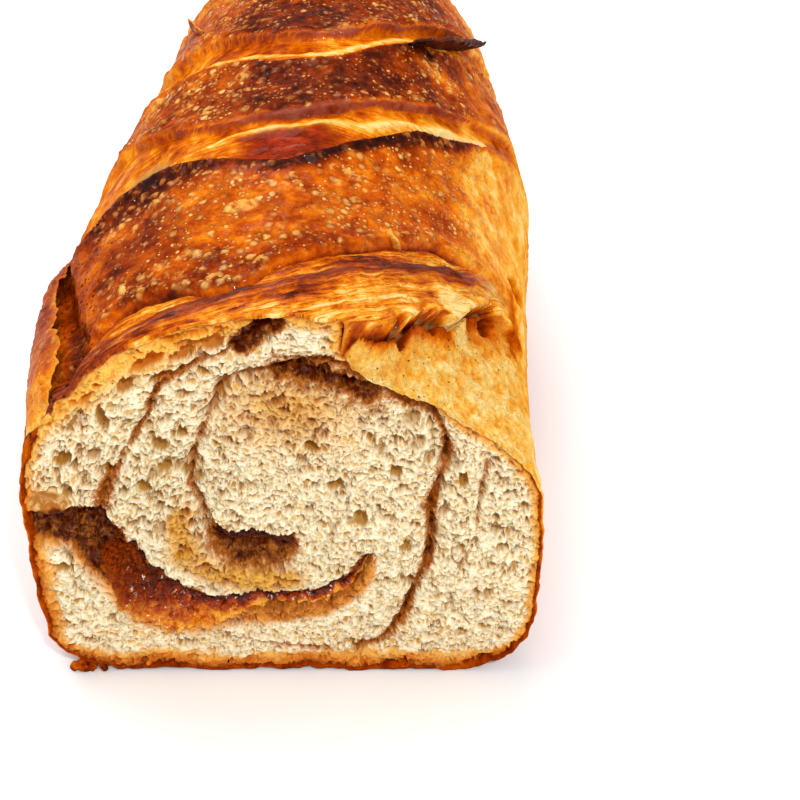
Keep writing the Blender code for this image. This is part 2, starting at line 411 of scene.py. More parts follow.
# Stains along the lines: which line, least and added strength, least and added half width.
STAIN_LINES = (("inner", 0.26, 0.62, 0.35, 1.5), ("outer", 0.34, 0.62, 0.35, 1.3),
               ("right", 0.45, 0.60, 0.6, 2.1), ("far", 0.05, 0.6, 0.3, 1.0),
               ("streak", 0.2, 0.6, 0.4, 1.6))


def bowls(points, size, seed, smallest, largest, share, opening):
    """How deep the pores of one size are at points of a surface that cuts them."""
    first, second, number, ahead = cells(points, size, seed)
    radius = size * (smallest + (largest - smallest) * number) * opening
    radius = np.where(other_number(number) < share, radius, 0.0)
    beside = np.maximum(first ** 2 - ahead ** 2, 0.0)
    depth = ahead + np.sqrt(np.maximum(radius ** 2 - beside, 0.0))
    lip = smoothstep(radius - first, 0.0, 0.14 + 0.05 * size)
    return np.maximum(depth, 0.0) * lip * smoothstep(second - first, 0.04, 0.45)


def foam(points, size, seed, deep, opening):
    """Depth of cells that fill the crumb, each to its own depth, and where their walls are."""
    first, second, number, _ = cells(points, size, seed)
    apart = (second - first) / size
    depth = deep * opening * (0.15 + 1.7 * other_number(number) ** 1.5)
    return depth * smoothstep(apart, 0.02, 0.42), 1.0 - smoothstep(apart, 0.03, 0.17)


def other_number(number):
    """A second random number from a cell's own."""
    return np.mod(number * 917.37, 1.0)


def stretched(points, marks):
    """Points bent so that bubbles grow longer along the rolled layers."""
    x, y, z = points.T
    turn = np.arctan2(z - SWIRL_CENTRE[1], -(x - SWIRL_CENTRE[0]))
    rolled = np.column_stack((marks["radius"] * 1.15, y, turn * 24.0))
    level = np.column_stack((x * 0.70, y, z * 1.15 + 300.0))
    core = np.column_stack((x, y, z + 700.0))
    inside_core = (marks["radius"] < 14.0) | ((marks["inner_side"] < 0.0) & (z > 38.0) & (x > -19.0))
    low = (marks["band_across"] < 0.0) & (z < 30.0)
    made = np.where(inside_core[:, None], core, rolled)
    return np.where(low[:, None], level, made)


def sunk(points):
    """Depth of the large bubbles."""
    x, z = points[:, 0], points[:, 2]
    deepest = np.zeros(len(x))
    for bx, bz, wide, high, turn in BUBBLES:
        angle = math.radians(turn)
        across = (x - bx) * math.cos(angle) + (z - bz) * math.sin(angle)
        up = (z - bz) * math.cos(angle) - (x - bx) * math.sin(angle)
        ball = 1.0 - (across / wide) ** 2 - (up / high) ** 2
        deepest = np.maximum(deepest, (2.4 + min(wide, high)) * np.maximum(ball, 0.0) ** 0.4)
    return deepest


def front_of(points, marks):
    """How far behind the cut plane the crumb's torn front lies."""
    edge = marks["edge"]
    front = 0.75 + 0.75 * fbm(points, 10.0, 21, 2) + 0.40 * fbm(points, 3.6, 25, 2)
    front = front + 1.0 * smoothstep(1.0 - edge / 1.3)
    for key, wide, drop in (("inner", 2.4, 1.3), ("outer", 2.0, 1.1), ("right", 2.4, 1.5),
                            ("far", 1.4, 0.5)):
        front = front + drop * bell(marks[key], wide)
    front = front + 1.2 * bell(np.maximum(marks["band"], 0.0), 1.4) * (marks["band_across"] > 0.0)
    front = front + 2.0 * smoothstep(1.0 - marks["powder"] / 2.0)
    front = front + 2.2 * smoothstep(marks["patch"], -0.4, 2.5)
    dry_end = smoothstep(0.34 - marks["band_run"], 0.0, 0.1)
    front = front + 1.3 * smoothstep(-marks["band"], -0.6, 1.2) * dry_end
    return front + 1.7 * smoothstep(1.25 - marks["jam"] / 3.4)


def crack(marks, ragged, key, wide, deep):
    """Depth of the crack beside a swirl line."""
    run = marks[key + "_run"]
    ends = smoothstep(run, 0.0, 0.06) * smoothstep(1.0 - run, 0.0, 0.06)
    return deep * ends * np.clip(ragged, 0.0, 1.6) * bell(marks[key], wide * (0.5 + 0.5 * ragged))


def crumb_depth(x, z, marks):
    """Depth of the finished crumb behind the cut plane, and where its thin walls are."""
    flat = np.column_stack((x, np.zeros_like(x), z))
    opening = 1.0 - 0.35 * smoothstep(1.0 - marks["edge"] / 2.2)
    opening *= 1.0 + 0.20 * fbm(flat, 14.0, 5, 2) - 0.10 * (z < 14.0)
    y = front_of(flat, marks)
    warp = np.column_stack([fbm(flat, 3.0, 31 + 5 * k, 2) for k in range(3)])
    for size, seed, smallest, largest, share in PORES:
        bent = stretched(np.column_stack((x, y, z)), marks) + 0.30 * size * warp
        y = y + bowls(bent, size, seed, smallest, largest, share, opening)
    curl = np.column_stack([fbm(flat, 1.7, 53 + 5 * k, 2) for k in range(3)])
    walls = np.zeros(len(x))
    for size, seed, deep in FOAM:
        bent = stretched(np.column_stack((x, 0.6 * y, z)), marks) + 0.75 * size * curl
        lower, wall = foam(bent, size, seed, deep, opening)
        y = y + lower
        walls = np.maximum(walls, wall)
    bubble = sunk(flat)
    y = mix(y, front_of(flat, marks) + bubble, smoothstep(bubble, 0.0, 0.5))
    y = y - 0.5 * bell(bubble - 0.25, 0.2) * (bubble > 0.0)
    ragged = 0.65 + 1.0 * fbm(flat, 4.5, 91, 3)
    y = y + np.maximum.reduce([crack(marks, ragged, *row) for row in CRACKS])
    walls = walls * (1.0 - smoothstep(bubble, 0.3, 0.8)) * smoothstep(marks["pocket"], 1.0, 1.3)
    y = y - 0.25 * walls
    hollow = 1.2 + 2.4 * (1.0 - np.clip(marks["pocket"], 0.0, 1.3) ** 2)
    return mix(y, hollow, smoothstep(1.2 - marks["pocket"], 0.0, 0.35)), walls


def face_grid(rim):
    """Points of a fine grid inside the rim, and the quads between them."""
    xs = np.arange(-GRID_HALF, GRID_HALF, FACE_STEP)
    zs = np.arange(0.0, GRID_TOP, FACE_STEP)
    gx, gz = np.meshgrid(xs, zs, indexing="ij")
    inside = inside_outline(gx.ravel(), gz.ravel(), rim)
    number = np.full(inside.size, -1, np.int64)
    number[inside] = np.arange(np.count_nonzero(inside))
    number = number.reshape(gx.shape)
    quads = np.stack((number[:-1, :-1], number[1:, :-1], number[1:, 1:], number[:-1, 1:]), axis=-1)
    quads = quads.reshape(-1, 4)
    return gx.ravel()[inside], gz.ravel()[inside], quads[(quads >= 0).all(axis=1)]


def inside_outline(x, z, rim):
    """Whether points lie inside a closed outline."""
    inside = np.zeros(len(x), bool)
    for (ax, az), (bx, bz) in zip(rim, np.roll(rim, -1, axis=0)):
        between = (az > z) != (bz > z)
        if between.any():
            cross = ax + (z - az) / (bz - az if bz != az else 1.0e-9) * (bx - ax)
            inside ^= between & (x < cross)
    return inside


def make_face(rim, crumb, syrup):
    """The cut face: crumb in three meshes, and the wet filling."""
    x, z, quads = face_grid(rim)
    marks = face_marks(x, z, rim)
    flat = np.column_stack((x, np.zeros_like(x), z))
    shape = gel_shape(flat, marks)
    wet = gel_depth(flat, marks)
    depth, walls = crumb_depth(x, z, marks)
    under = smoothstep(-shape, 0.0, 0.5)
    depth = mix(depth, np.maximum(depth, wet + 0.9), under)
    rolled = np.column_stack((x, depth, z))
    sway = np.column_stack([fbm(rolled, 1.6, 61 + 5 * k, 2) for k in range(2)])
    sway *= (0.24 * smoothstep(marks["edge"], 0.4, 1.5))[:, None]
    points = np.column_stack((x + sway[:, 0], depth, z + sway[:, 1]))
    fields = crumb_fields(points, marks, depth - front_of(flat, marks))
    # Where the thin walls are; the crumb's material lightens their tops as painted highlights.
    fields["wall"] = walls
    shown = (marks["edge"] > CRUMB_INSET) & (shape > -1.1)
    kept = quads[shown[quads].any(axis=1)]
    zone = np.digitize(x[kept[:, 0]], CRUMB_SPLITS)
    for part, name in enumerate(("crumb_left", "crumb_middle", "crumb_right")):
        some, faces, numbers = compact(points, kept[zone == part], fields)
        make_piece(name, some, faces, crumb, ("dough",), numbers)
    make_filling(x, z, quads, marks, shape, wet, syrup)


def crumb_fields(points, marks, deep):
    """Numbers for the crumb's material at each point."""
    x, z = points[:, 0], points[:, 2]
    patchy = 0.5 + 0.5 * fbm(points, 5.0, 111, 3)
    rough = 0.5 + 0.5 * fbm(points, 1.8, 115, 3)
    amber_left = smoothstep(-x - z / 3.0, 29.0, 34.0)
    reach = 0.8 + 4.2 * patchy * smoothstep(0.75 - marks["band_run"], 0.0, 0.25)
    amber = (1.0 - smoothstep(marks["band"], -0.8, reach)) * (marks["band_across"] < 0.3)
    amber = np.maximum(amber, smoothstep(1.9 - marks["pocket"], 0.0, 0.9) * amber_left)
    upper_left = smoothstep(z, 50.0, 60.0) * smoothstep(-x, 10.0, 40.0)
    thick = 1.7 + 3.2 * smoothstep(-z, -9.0, -5.0)
    thick += 1.4 * smoothstep(-x, 42.0, 52.0) * (1.0 - upper_left)
    thick *= 1.0 + 0.55 * fbm(points, 6.0, 119, 3)
    butter = smoothstep(1.3 - marks["butter"] / (2.2 + 4.0 * patchy)) * (0.68 + 0.5 * rough)
    upper_core = bell(np.hypot((x - 2.0) / 1.4, z - 77.0), 9.0) * (marks["inner_side"] < 0.0)
    # The depth behind the torn front is painted into the crumb's colour as shade.
    return {"stain_and_shade": stains_and_shade(points, marks, patchy, rough), "amber": amber, "gold": marks["gold"],
            "butter": np.maximum(butter, 0.95 * upper_core * (0.72 + 0.4 * rough)),
            "pocket": smoothstep(1.15 - marks["pocket"], 0.0, 0.3),
            "warmth": warmth(points, marks), "bake": 1.0 - marks["edge"] / thick, "deep": deep}


def stains_and_shade(points, marks, patchy, rough):
    """How strongly cinnamon colours the crumb: along the lines, in patches and by the band; with
    painted shade under the core's overhang.
    """
    broken = smoothstep(fbm(points, 11.0, 117, 3), -0.45, 0.30)
    low_end = {"outer": 1.6 * smoothstep(marks["outer_run"], 0.62, 0.95)}
    made = []
    for key, least, most, thin, thick in STAIN_LINES:
        reach = thin + thick * patchy * (0.25 + 0.75 * broken) + low_end.get(key, 0.0)
        power = least + most * rough * (0.4 + 0.6 * broken)
        made.append(power * bell(marks[key], reach))
    powder = marks["powder"]
    made.append((0.6 + 0.7 * rough) * smoothstep(1.5 - powder / (1.3 + 1.3 * patchy)))
    made.append((0.05 + 0.6 * rough) * smoothstep(1.3 - powder / (4.0 + 4.0 * patchy)))
    patch = smoothstep(marks["patch"], -1.2, 2.0 + 2.0 * patchy)
    # Painted shade: the patch darkens further right under the core's overhang.
    shade_under_core = smoothstep(4.5 - marks["patch_top"], -1.5, 3.5)
    made.append(patch * (0.58 + 0.50 * rough + 0.60 * shade_under_core))
    made.append((0.6 + 0.8 * rough) * smoothstep(1.5 - marks["jam"] / 2.2))
    band, run, across = marks["band"], marks["band_run"], marks["band_across"]
    made.append(smoothstep(across, -0.1, 0.7) * (1.0 - smoothstep(band, 0.0, 1.6)))
    dry = (1.0 - smoothstep(band, -1.0, 0.8)) * (1.0 - smoothstep(run, 0.24, 0.36))
    made.append(dry * (0.55 + 0.7 * rough))
    tail = (1.0 - smoothstep(band, -1.5, 0.4)) * smoothstep(run, 0.56, 0.64)
    made.append(tail * (0.06 + 0.62 * rough + 0.4 * smoothstep(across, -0.3, 0.4)))
    return np.maximum.reduce(made)


def warmth(points, marks):
    """Where the crumb is yellower than the white of its outer rings."""
    x, z = points[:, 0], points[:, 2]
    upper_core = bell(np.hypot((x - 1.0) / 1.3, z - 76.0), 13.0)
    outer_left = smoothstep(-x, 30.0, 46.0) * smoothstep(z, 46.0, 60.0)
    beside_crust = smoothstep(1.0 - marks["edge"] / 8.0)
    made = 0.30 + 0.55 * upper_core + 0.4 * outer_left + 0.5 * beside_crust
    made = made + 0.75 * smoothstep(20.0 - z, 0.0, 12.0)
    return made + 0.30 * fbm(points, 12.0, 121, 3)


# ---------------------------------------------------------------- the sticky filling

def gel_shape(points, marks):
    """Signed distance to the sticky parts on the cut face, negative inside."""
    ragged = fbm(points, 3.2, 131, 3)
    run = marks["band_run"]
    reach = table(run, WET_REACH)
    lower = (reach - marks["band_across"]) * 4.5 + 1.6 * ragged
    dry = 6.0 * smoothstep(0.20 + 0.05 * ragged - run, 0.0, 0.06)
    return np.maximum(marks["band"] + 0.3 + 0.6 * ragged, lower) + dry


def gel_depth(points, marks):
    """Depth of the filling's wet front behind the cut plane."""
    across = marks["band_across"]
    first, _, number, _ = cells(points, 2.8, 141)
    pebbles = np.sqrt(np.clip(1.0 - (first / (0.7 + 1.0 * number)) ** 2, 0.0, 1.0))
    small = smoothstep(1.0 - cells(points, 1.1, 143)[0] / 0.6)
    folds = 1.0 - 2.0 * np.abs(fbm(points, 5.0, 147, 3, 0.6))
    depth = mix(front_of(points, marks) - 0.2, 3.6, smoothstep(across, -1.0, 1.0))
    return depth + 0.9 * fbm(points, 5.0, 145, 2) - 1.2 * pebbles - 0.40 * small - 1.0 * folds


def make_filling(x, z, quads, marks, shape, wet, material):
    """The wet filling that shows on the cut face."""
    dive = 3.2 * np.maximum(shape, 0.0)
    points = np.column_stack((x, wet + dive, z))
    kept = quads[(shape[quads] < 0.9).all(axis=1) & (marks["edge"][quads] > CRUMB_INSET).all(axis=1)]
    reach = table(marks["band_run"], WET_REACH)
    fields = {"across": (marks["band_across"] - reach) / (1.0 - reach), "run": marks["band_run"]}
    some, faces, numbers = compact(points, kept, fields)
    make_piece("sticky_filling", some, faces, material, ("cinnamon_filling",), numbers)


# ---------------------------------------------------------------- the crust's form

# Lines over the top crust, as (length round from the apex, distance behind the cut): three of
# the band beside the cut; the lip, pale stripe and torn face of the first score; the pale
# stripe and torn face of the second; and the last score.
TOP_LINES = {
    "rim": ((-62, -4), (-29, 0), (-18, 1.4), (-6.6, 4.3), (1.2, 5), (10, 9.5), (16, 13.4),
            (25, 18), (35, 25), (46, 33), (60, 44)),
    "ridge": ((-62, 0.5), (-47, 2.1), (-29, 4.3), (-18, 5.7), (-6, 8.5), (1.5, 10.6),
              (10.6, 15.5), (24, 23.8), (34, 30.5), (46, 38), (60, 47)),
    "thin": ((-62, 5), (-50, 7.5), (-40, 11), (-27.8, 13.4), (-21, 12), (-14.5, 9.9), (-9, 11.3),
             (-4, 14.8), (2, 17.6), (7.6, 21), (15, 25.8), (24, 32.6), (34, 38.6), (43, 41.2),
             (60, 50)),
    "lip": ((-66, 44), (-56, 46), (-47.8, 50.3), (-41, 54.4), (-33, 55.4), (-23, 53.5),
            (-12.5, 49.7), (-3, 48.6), (3.7, 52.9), (9.8, 58), (17.7, 65.5), (26.4, 73.5),
            (36, 81.3), (44.6, 88.3), (60, 99)),
    "pale": ((-64, 56), (-46, 60), (-31, 62.0), (-17, 65.4), (-9, 66.8), (0, 67.0), (11.7, 70.0),
             (20.5, 75.9), (32, 84.2), (41, 90.1), (48, 95.2), (62, 104)),
    "face": ((-66, 88), (-50, 86), (-40, 80), (-26, 72.9), (-18, 71), (-9, 71), (1.5, 72.3),
             (12.4, 78.9), (20, 83.6), (27.7, 88.9), (37, 95.8), (48, 104), (62, 113)),
    "pale3": ((-68, 123), (-59, 118), (-39, 109), (-31, 107), (-22.6, 103.6), (-14, 99.7),
              (-7, 98.6), (1.4, 100.3), (9, 105.8), (17.6, 113.8), (26, 119), (40, 130),
              (60, 146)),
    "face3": ((-68, 133), (-55, 128), (-36, 120), (-23, 112.7), (-8.4, 106.8), (4.2, 108.5),
              (20, 121.6), (32, 133), (42, 142.7), (60, 158)),
    "last": ((-66, 166), (-40, 158), (-20, 151), (0, 147), (20, 157), (40, 168), (60, 178)),
}

# Where the hollow beside the flake runs, as (behind, length round from the apex); it is sunk, and
# darkened as painted shade.
FLAKE_SHADE = ((0, -50.5), (12, -47.0), (18, -49.5), (26, -52.5), (42, -58.0), (60, -64.0))

# The torn step beside the cut, by the length round from the apex: where it ends, how deep it
# is at the cut and how deep behind; then its hollows, as (length, behind, half sizes).
TEAR_LIP = ((3, 0), (8, 0.4), (12, 1.5), (18, 4), (24, 10), (30, 16), (37, 20), (42, 28),
            (48, 35), (56, 38), (66, 38), (76, 36))
TEAR_DEPTHS = ((3, 0), (6.2, 0), (8.4, 2.2), (11.0, 6.4), (14.5, 9.8), (20, 11), (32, 9.5),
               (44, 7.5), (54, 4.5), (64, 1.5), (72, 0))
TEAR_GAPS = ((4, 0), (8, 2.2), (13, 3.4), (22, 3.6), (32, 3.2), (46, 3.2), (54, 2.0), (62, 0.6))
CAVES = ((50.5, 34.0, 2.8, 6.0), (62.5, 56.5, 4.5, 2.0), (30.0, 14.8, 3.4, 1.6),
         (22.5, 7.4, 3.4, 1.6))
CAVE_DEPTH = 4.2

# How dark the first lip is, how wide that is, and how wide the ribbon and torn face behind it
# are, each by the length round from the apex.
LIP_TONES = ((-56, 0.64), (-46, 0.90), (-34, 0.97), (-24, 0.90), (-14, 0.84), (-5, 0.94), (4, 1.0),
             (20, 1.0), (36, 0.90), (46, 0.55), (60, 0.28))
LIP_WIDTHS = ((-56, 1.4), (-44, 2.6), (-34, 3.6), (-24, 3.4), (-12, 2.0), (0, 1.6), (14, 2.0),
              (26, 2.6), (38, 1.6), (50, 0.8))
RIBBON_WIDTHS = ((-34, 0.0), (-20, 0.25), (-10, 1.2), (2, 2.1), (14, 2.7), (30, 2.5), (48, 2.0),
                 (62, 1.0))
TORN_WIDTHS = ((-40, 0.0), (-32, 0.2), (-20, 0.35), (-6, 0.7), (8, 1.0), (24, 0.6), (36, 0.3),
               (42, 0.0))

# Blisters raised on the skin: cell size, seed, share of cells, least and most radius in cells;
# then the largest one's place, as (length from the apex, behind), and its half sizes.
BLISTERS = ((7.0, 251, 0.6, 0.10, 0.26), (3.2, 252, 0.8, 0.13, 0.36), (1.9, 253, 0.85, 0.18, 0.36))
BIG_BLISTER = ((-10.7, 35.9), (3.2, 1.9))

# The crust's first ring, behind the cut, and the rounded edge in front of it, as (inset,
# behind); then where the apex is along the outline, and the lengths round from it of the
# points of a ring, wider apart under the loaf.
FIRST_RING = 0.8
CUT_EDGE = ((1.3, 3.6), (1.1, 1.9), (0.85, 0.9), (0.55, 0.4), (0.2, 0.3))
APEX_ALONG = OUTLINE_ALONG[np.argmax(OUTLINE_POINTS[:, 1])]
COLUMNS = np.concatenate((np.arange(-96.0, 91.0, 0.5),
                          np.arange(91.0, AROUND - 96.6, 1.25)))


def across_top(s, route):
    """Distance behind the cut of a line over the top, at lengths s from the apex."""
    line = curve(route, 8)
    return np.interp(s, line[:, 0], line[:, 1])


def base_surface(s, y):
    """The plain loaf's surface at lengths s round from the apex and distances y."""
    return place(outline_at(APEX_ALONG - s), y)


def base_normal(s, y):
    """Outward direction of the plain surface."""
    y_near = np.maximum(y - 0.2, 0.0)
    along = base_surface(s, np.minimum(y + 0.2, LENGTH)) - base_surface(s, y_near)
    round_it = base_surface(s + 0.6, y) - base_surface(s - 0.6, y)
    normal = np.cross(round_it, along)
    return normal / np.maximum(np.linalg.norm(normal, axis=1), 1.0e-9)[:, None]


def streaks(s, v, long, wide, seed, octaves=3):
    """Layered noise drawn out along the scores."""
    return fbm(np.column_stack((s / long, v / wide, np.full_like(s, 0.37 * seed))), 1.0, seed,
               octaves, 0.6)


def blisters(points, size, seed, share, small, large):
    """Rounded blister heights in millimetres, and how much of each point they cover."""
    away, _, number, _ = cells(points, size, seed)
    radius = size * (small + (large - small) * number ** 1.5)
    radius = np.where(other_number(number) < share, radius, 1.0e-3)
    dome = np.sqrt(np.clip(1.0 - (away / radius) ** 2, 0.0, 1.0))
    return dome * radius, smoothstep(1.25 - away / radius, 0.0, 0.35)


def oval(form, centre, half):
    """Distance from the middle of an oval on the crust, 1 at its edge."""
    return np.hypot((form.s - centre[0]) / half[0], (form.y - centre[1]) / half[1])


def score_zones(s, y):
    """Distances behind each line over the top, and where the panels of baked skin between
    the scores and the openings that tore between them lie."""
    points = base_surface(s, y)
    form = SimpleNamespace(s=s, y=y, points=points, bend=fbm(points, 10.0, 201, 3),
                           fine=fbm(points, 3.2, 205, 2), ribbon=fbm(points, 8.0, 209, 3))
    jagged = noise(points / 1.3, 208)
    wander = 1.3 * form.bend + 0.5 * form.fine + 0.22 * jagged
    form.v = y + wander * smoothstep(y, 0.0, 9.0)
    for key, route in TOP_LINES.items():
        setattr(form, key, form.v - across_top(s, route))
    form.pale = form.pale - 1.2 * form.ribbon
    form.lip3 = form.pale3 + 4.5
    form.top = smoothstep(1.0 - (np.abs(s + 2.0) - 50.0) / 16.0)
    form.closed = 1.0 - smoothstep(y, 150.0, 172.0)
    form.front = smoothstep(-form.thin, -0.4, 0.8)
    form.panel_1 = smoothstep(form.thin, 0.0, 2.0) * smoothstep(-form.lip, 0.0, 1.0)
    form.open_2 = smoothstep(form.lip, 0.0, 1.0) * smoothstep(-form.face, 0.0, 1.2)
    form.panel_2 = smoothstep(form.face, 0.0, 2.0) * smoothstep(-form.lip3, 0.0, 1.0)
    form.open_3 = smoothstep(form.lip3, 0.0, 1.0) * smoothstep(-form.face3, 0.0, 1.2)
    form.panel_3 = smoothstep(form.face3, 0.0, 2.0)
    return form


def lifted(away, reach, fade):
    """A lip that rises towards zero distance and ends there."""
    return np.exp(np.minimum(away, 0.0) / fade) * smoothstep(-away, -reach, 0.0)


def stepped(away, reach, fade):
    """A step up at zero distance that sinks away behind it."""
    return smoothstep(away, -reach, 0.2) * np.exp(-np.maximum(away, 0.0) / fade)


def score_relief(form):
    """Heights of the scores: raised lips, sunk openings, strands and crumpled folds."""
    s, ridge, thin, lip, lip3 = form.s, form.ridge, form.thin, form.lip, form.lip3
    form.ledge = np.clip(1.0 + 1.2 * fbm(form.points, 6.0, 217, 2), 0.35, 1.7)
    form.streak = streaks(s, ridge, 15.0, 1.15, 221)
    form.short_streak = streaks(s, ridge, 5.0, 0.75, 225, 2)
    strands = 0.8 - 2.0 * np.abs(streaks(s, ridge, 9.0, 1.5, 228, 2))
    relief = 1.1 * bell(ridge, 2.3) + 0.6 * bell(thin - 2.4, 2.2) - 1.3 * bell(thin + 0.5, 0.8)
    relief += 2.1 * lifted(lip, 1.3, 4.5) + lifted(lip3, 1.2, 4.0)
    relief -= form.open_2 * (1.0 + 1.1 * np.exp(-np.maximum(lip, 0.0) / 3.0)) + 1.3 * form.open_3
    relief += 0.8 * bell(form.pale, 2.2) * form.open_2 + 0.6 * bell(form.pale3, 2.0) * form.open_3
    relief += form.ledge * (stepped(form.face, 1.8, 6.0) + 1.15 * stepped(form.face3, 1.8, 6.0))
    relief += 1.2 * stepped(form.last, 1.6, 5.0) - bell(form.last + 3.0, 2.2)
    relief += form.front * (0.75 * form.streak + 0.40 * form.short_streak + 0.45 * strands)
    relief += 0.35 * np.maximum(form.open_2, form.open_3) * streaks(s, form.pale, 10.0, 1.3, 231)
    crumple = 1.0 - 2.0 * np.abs(streaks(s, form.v, 4.0, 1.3, 235, 2))
    folds = form.panel_1 * (bell(np.minimum(lip, 0.0), 6.0) + bell(thin - 2.0, 3.0))
    folds += form.panel_2 * (0.8 * bell(form.face, 4.0) + 0.7 * bell(np.minimum(lip3, 0.0), 5.0))
    folds += form.panel_3 * 0.8 * bell(form.face3, 5.0)
    return form.top * form.closed * (relief + 0.55 * folds * crumple)


def skin_relief(form):
    """Heights of the blisters and puckers on the baked skin."""
    points = form.points
    skin = np.clip(form.panel_1 + form.panel_2 + form.panel_3, 0.0, 1.0) * form.top
    busy = smoothstep(fbm(points, 16.0, 241, 2), -0.35, 0.25) * skin
    squashed = points * np.array((0.72, 1.0, 1.0))
    domes, covers = zip(*[blisters(squashed, *row) for row in BLISTERS])
    big = oval(form, *BIG_BLISTER)
    dome = np.maximum.reduce((*domes, 1.1 * np.sqrt(np.clip(1.0 - big ** 2, 0.0, 1.0))))
    form.blister = np.maximum(np.maximum.reduce(covers) * busy, smoothstep(1.2 - big, 0.0, 0.3))
    puckered = 1.0 - 2.2 * np.abs(fbm(points, 3.4, 257, 3))
    return 0.6 * dome * np.maximum(busy, smoothstep(1.1 - big, 0.0, 0.1)) + 0.34 * skin * puckered


def side_relief(form):
    """Heights of the lumpy flanks, the pitted tin sides and the rough lower edge, with the
    hollow behind the peeling flake and the pocket under the first lip's left end."""
    s, y, points = form.s, form.y, form.points
    form.hollow = bell(s - table(y, FLAKE_SHADE), 3.0) * smoothstep(60.0 - y, 0.0, 9.0)
    slanted = (form.v - 68.0 + 0.25 * (s + 41.0)) / 4.6
    form.pocket = bell(np.hypot((s + 41.0) / 9.0, slanted), 0.9)
    form.side = smoothstep(np.abs(s), 72.0, 88.0)
    form.corner = bell(points[:, 2], 7.0) * form.side
    pits, _, number, _ = cells(points, 2.6, 261)
    pitted = smoothstep(1.0 - pits / (0.4 + 0.8 * number)) * form.side
    flank = smoothstep(np.abs(s), 52.0, 62.0)
    relief = 0.5 * pitted * np.sign(other_number(number) - 0.45)
    relief -= form.corner * (0.5 - 1.1 * fbm(points, 2.6, 265, 3))
    relief += flank * (0.55 * fbm(points, 6.0, 267, 2) + 0.35 * fbm(points, 2.2, 269, 2))
    return relief - 1.9 * form.hollow - 2.4 * form.pocket


def torn_step(form, height):
    """Heights with the step where the outer layer is torn away beside the cut: a broken face
    with a raised edge, a trench behind it, and hollows."""
    s, y, points = form.s, form.y, form.points
    lip_y = across_top(s, TEAR_LIP) + 1.2 * fbm(points, 4.0, 271, 3) * smoothstep(s, 14.0, 26.0)
    ditch = np.clip(0.4 * lip_y, 0.8, 2.2)
    form.behind = y - lip_y
    deepest = table(s + 0.9 * form.bend, TEAR_DEPTHS)
    form.stepped_down = smoothstep(deepest / 2.5)
    run = np.clip((y - 0.8) / np.maximum(lip_y - ditch - 0.8, 0.4), 0.0, 1.0)
    form.torn = form.stepped_down * (1.0 - smoothstep(form.behind, -0.25, 0.25))
    gap = table(s, TEAR_GAPS) * (1.0 + 0.35 * fbm(points, 5.5, 275, 3))
    form.squiggle = 1.0 - 2.2 * np.abs(fbm(points, 2.0, 281, 3, 0.6))
    opened_up = smoothstep(gap, 1.0, 2.5) * form.torn * smoothstep(s, 9.5, 12.5)
    trench = smoothstep(form.behind + ditch, 0.0, 0.3 * ditch) * opened_up
    form.tear_edge = bell(run - 1.0, 0.22) * opened_up * (1.0 - trench)
    floor = -(gap + np.maximum(deepest - gap, 0.0) * (1.0 - run))
    floor += 0.5 * form.squiggle + 0.6 * fbm(points, 7.0, 283, 2)
    floor += 0.7 * form.tear_edge - 1.8 * trench
    height = mix(height, np.where(deepest > 0.1, floor, height), form.torn)
    height = height + 0.8 * bell(form.behind - 1.0, 1.3) * form.stepped_down
    caves = [smoothstep(1.15 - oval(form, row[:2], row[2:]) + 0.35 * form.bend, 0.0, 0.45)
             for row in CAVES]
    cave = np.maximum.reduce(caves)
    # The caves and the trench are sunk here and darkened later as painted shade.
    form.cave = np.maximum(cave, trench)
    return height - CAVE_DEPTH * cave


def crust_form(s, y):
    """The plain surface, the crust's heights on it, its lean along the loaf, and its zones."""
    form = score_zones(s, y)
    points = form.points
    height = 0.9 * fbm(points, 30.0, 211, 2) + 0.45 * fbm(points, 12.0, 214, 2) + 0.12 * form.fine
    height = height + score_relief(form) + skin_relief(form) + side_relief(form)
    height = torn_step(form, height)
    lean = 1.3 * bell(form.lip + 0.3, 1.3)
    lean -= form.ledge * (0.8 * bell(form.face - 0.2, 1.1) + 0.7 * bell(form.face3 - 0.2, 1.1))
    lean = lean * form.top * form.closed * (1.0 - form.torn)
    return form, height, lean - 1.3 * bell(form.behind - 0.6, 0.9) * form.stepped_down


def paint(value, target, amount):
    """Move a number towards a target."""
    return value + (target - value) * np.clip(amount, 0.0, 1.0)


def painted(value, *layers):
    """Move a number towards each layer's target in turn."""
    for target, amount in layers:
        value = paint(value, target, amount)
    return value


def panel_tones(tone, form, mottled, patchy):
    """How dark the baked skin between the scores is."""
    s, y, top = form.s, form.y, form.top
    one, two = form.panel_1 * top, form.panel_2 * top
    three = form.panel_3 * top * form.closed
    shade = 0.51 + 0.18 * smoothstep(-s, 14.0, 34.0) - 0.26 * smoothstep(s, 26.0, 44.0)
    below_band = smoothstep(form.thin - 12.0 - 10.0 * mottled, 0.0, -8.0)
    wide = table(s, LIP_WIDTHS) * (1.0 + 0.7 * form.ribbon)
    shade_2 = 0.82 - 0.26 * smoothstep(np.abs(s - 6.0), 16.0, 40.0) + 0.16 * mottled
    shade_3 = 0.78 - 0.24 * smoothstep(np.abs(s - 4.0), 18.0, 42.0) + 0.14 * mottled
    form.skin = np.clip(one + two + three, 0.0, 1.0)
    return painted(
        tone,
        (shade + 0.15 * patchy + 0.10 * mottled, one),
        (0.70, one * below_band * smoothstep(-s, -22.0, 2.0)),
        (0.72, one * bell(np.hypot(s - 33.0, (y - 48.0) * 1.4), 6.5)),
        (table(s, LIP_TONES), bell(form.lip + 0.5 * wide, wide) * top),
        (shade_2, two),
        (0.34, two * bell(np.hypot((s - 27.0) / 2.2, y - 104.0), 3.0)),
        (shade_3, three))


